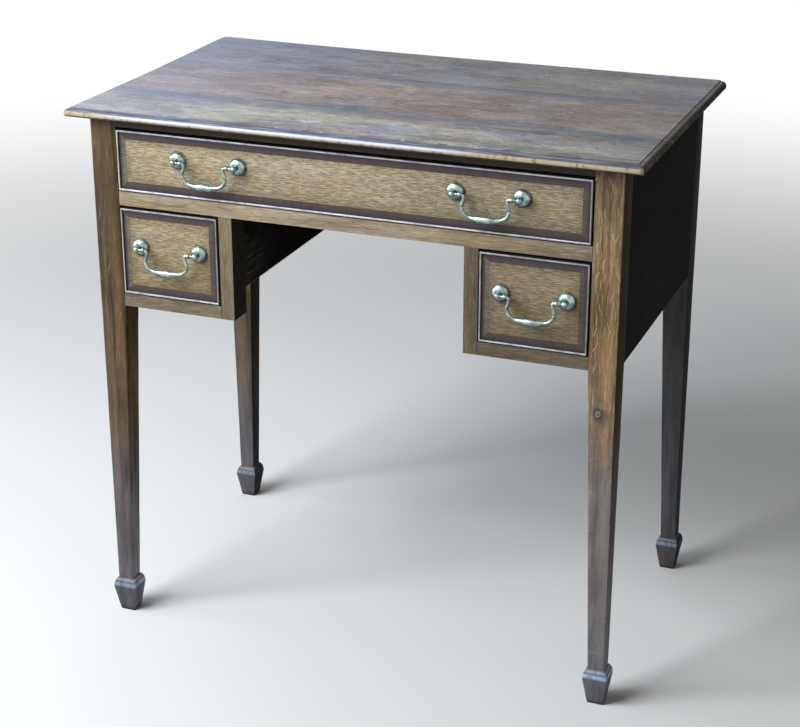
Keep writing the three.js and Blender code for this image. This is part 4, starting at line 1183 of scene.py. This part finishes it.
def own_settings(node, kind):
    """What the wood of one piece has of its own."""
    if kind == "mahogany_band":
        return dict(extra=partial(band_marks, node))
    if kind == "bead_timber":
        return dict(extra=partial(bead_marks, node, *BEAD_SHINE_AND_WEAR["long" in node]))
    if kind == "oak_field":
        return dict(extra=partial(field_marks, node, FIELD_PAINTED_LIGHT[node]))
    if kind == "oak_top":
        return dict(tints=TOP_TINTS[node])
    if kind == "secondary_timber":
        along = any(word in node for word in ("_side_", "runner", "bearer"))
        return dict(grain="y" if along else "x")
    if kind == "oak_side":
        own = KNEE_SIDE if node == "kneehole_board_left" else {}
        return dict(own, grain="x" if node == "back_board" else "y")
    if kind == "oak_frame":
        grain = "z" if "stile" in node else "x"
        return dict(grain=grain, extra=partial(rail_marks, grain, RAIL_PAINTED_LIGHT[node]))
    levels, far_side, orange, flecked, knot = LEGS[node]
    own = REAR_LEG if node == "leg_rear_right" else {}
    tints = ((ORANGE, 4, 90, 0.49, 0.64, orange), (LEG_STREAK, 3.5, 110, 0.52, 0.66, 0.7))
    marks = partial(leg_marks, levels, flecked, knot)
    return dict(own, far_side=far_side, tints=tints, extra=marks)


for index, (node, slot) in enumerate(sorted(SLOTS.items())):
    if slot == "brass":
        continue
    kind = "leg" if node.startswith("leg_") else slot
    settings = {**FINISHES[kind], **own_settings(node, kind)}
    settings["shift"] = [step * index for step in GRAIN_SHIFT]
    material = wood(node + "_wood", **settings)
    if kind == "oak_top":
        top_board(node, *TOP_SPANS[node], material)
    elif kind == "leg":
        leg(node, material)
    else:
        NODES[node].material_slots[0].material = material
        soften(NODES[node], *ROUNDING.get(kind, ()))
add_handles(brass())


# ---- Floor, light and camera ----

WORLD_FILL = 0.14
FLOOR_BOUNCE, FLOOR_COLOR = (0.3, 0.3, 0.3), (0.8, 0.8, 0.79)
FLOOR_HALF, FLOOR_FADE = 9, (1.2, 3.4)
LAMP_TARGET = Vector((0, 0, 0.42))
# Place, size, power and colour
LAMPS = {
    "key": ((-1.45, -1.75, 2.25), 1.6, 98, (0.94, 0.975, 1)),
    "window": ((-2.6, -1.1, 1.4), 1.8, 38, (0.84, 0.92, 1)),
    "over": ((-1, 0.9, 2.9), 2, 10, (0.88, 0.94, 1)),
}


def floor_material():
    s = Shader("pale_floor")
    seen = s.seen()
    far = s.length(s.place())
    color = s.mix(seen, FLOOR_BOUNCE, FLOOR_COLOR)
    lit = s.node("ShaderNodeBsdfDiffuse", {"Color": color}).outputs[0]
    white = s.node("ShaderNodeEmission", {"Color": WHITE, "Strength": 1}).outputs[0]
    fade = s.times(s.ramp(far, *FLOOR_FADE), seen)
    return s.surface(s.node("ShaderNodeMixShader", {0: fade, 1: lit, 2: white}))


def make_floor():
    corners = [(x * FLOOR_HALF, y * FLOOR_HALF, 0) for x, y in CORNERS]
    mesh = mesh_from("floor", corners, [range(4)])
    mesh.materials.append(floor_material())
    linked("floor", mesh)


def make_world():
    world = bpy.data.worlds.new("studio")
    SCENE.world = world
    world.use_nodes = True
    w = Nodes(world.node_tree)
    strength = w.line(w.seen(), 1 - WORLD_FILL, WORLD_FILL)
    sky = w.node("ShaderNodeBackground", {"Color": WHITE, "Strength": strength}).outputs[0]
    w.node("ShaderNodeOutputWorld", {"Surface": sky})


def make_lamp(name, place, size, power, color):
    lamp = bpy.data.lights.new(name, "AREA")
    holder = linked(name, adjusted(lamp, shape="SQUARE", size=size, energy=power, color=color))
    aim(holder, place, LAMP_TARGET - Vector(place))
    holder.visible_camera = False


def make_camera():
    data = bpy.data.cameras.new("camera")
    adjusted(data, sensor_width=SENSOR, sensor_fit="HORIZONTAL", lens=CAMERA_LENS)
    yaw, pitch = math.radians(CAMERA_YAW), math.radians(CAMERA_PITCH)
    level = math.cos(pitch)
    forward = Vector((math.sin(yaw) * level, math.cos(yaw) * level, math.sin(pitch)))
    SCENE.camera = linked("camera", data)
    aim(SCENE.camera, CAMERA_PLACE, forward)


def aim(holder, place, forward):
    holder.location = place
    holder.rotation_mode = "QUATERNION"
    holder.rotation_quaternion = forward.to_track_quat("-Z", "Y")


make_floor()
make_world()
for name, settings in LAMPS.items():
    make_lamp(name, *settings)
make_camera()
SCENE.view_settings.view_transform = "Standard"
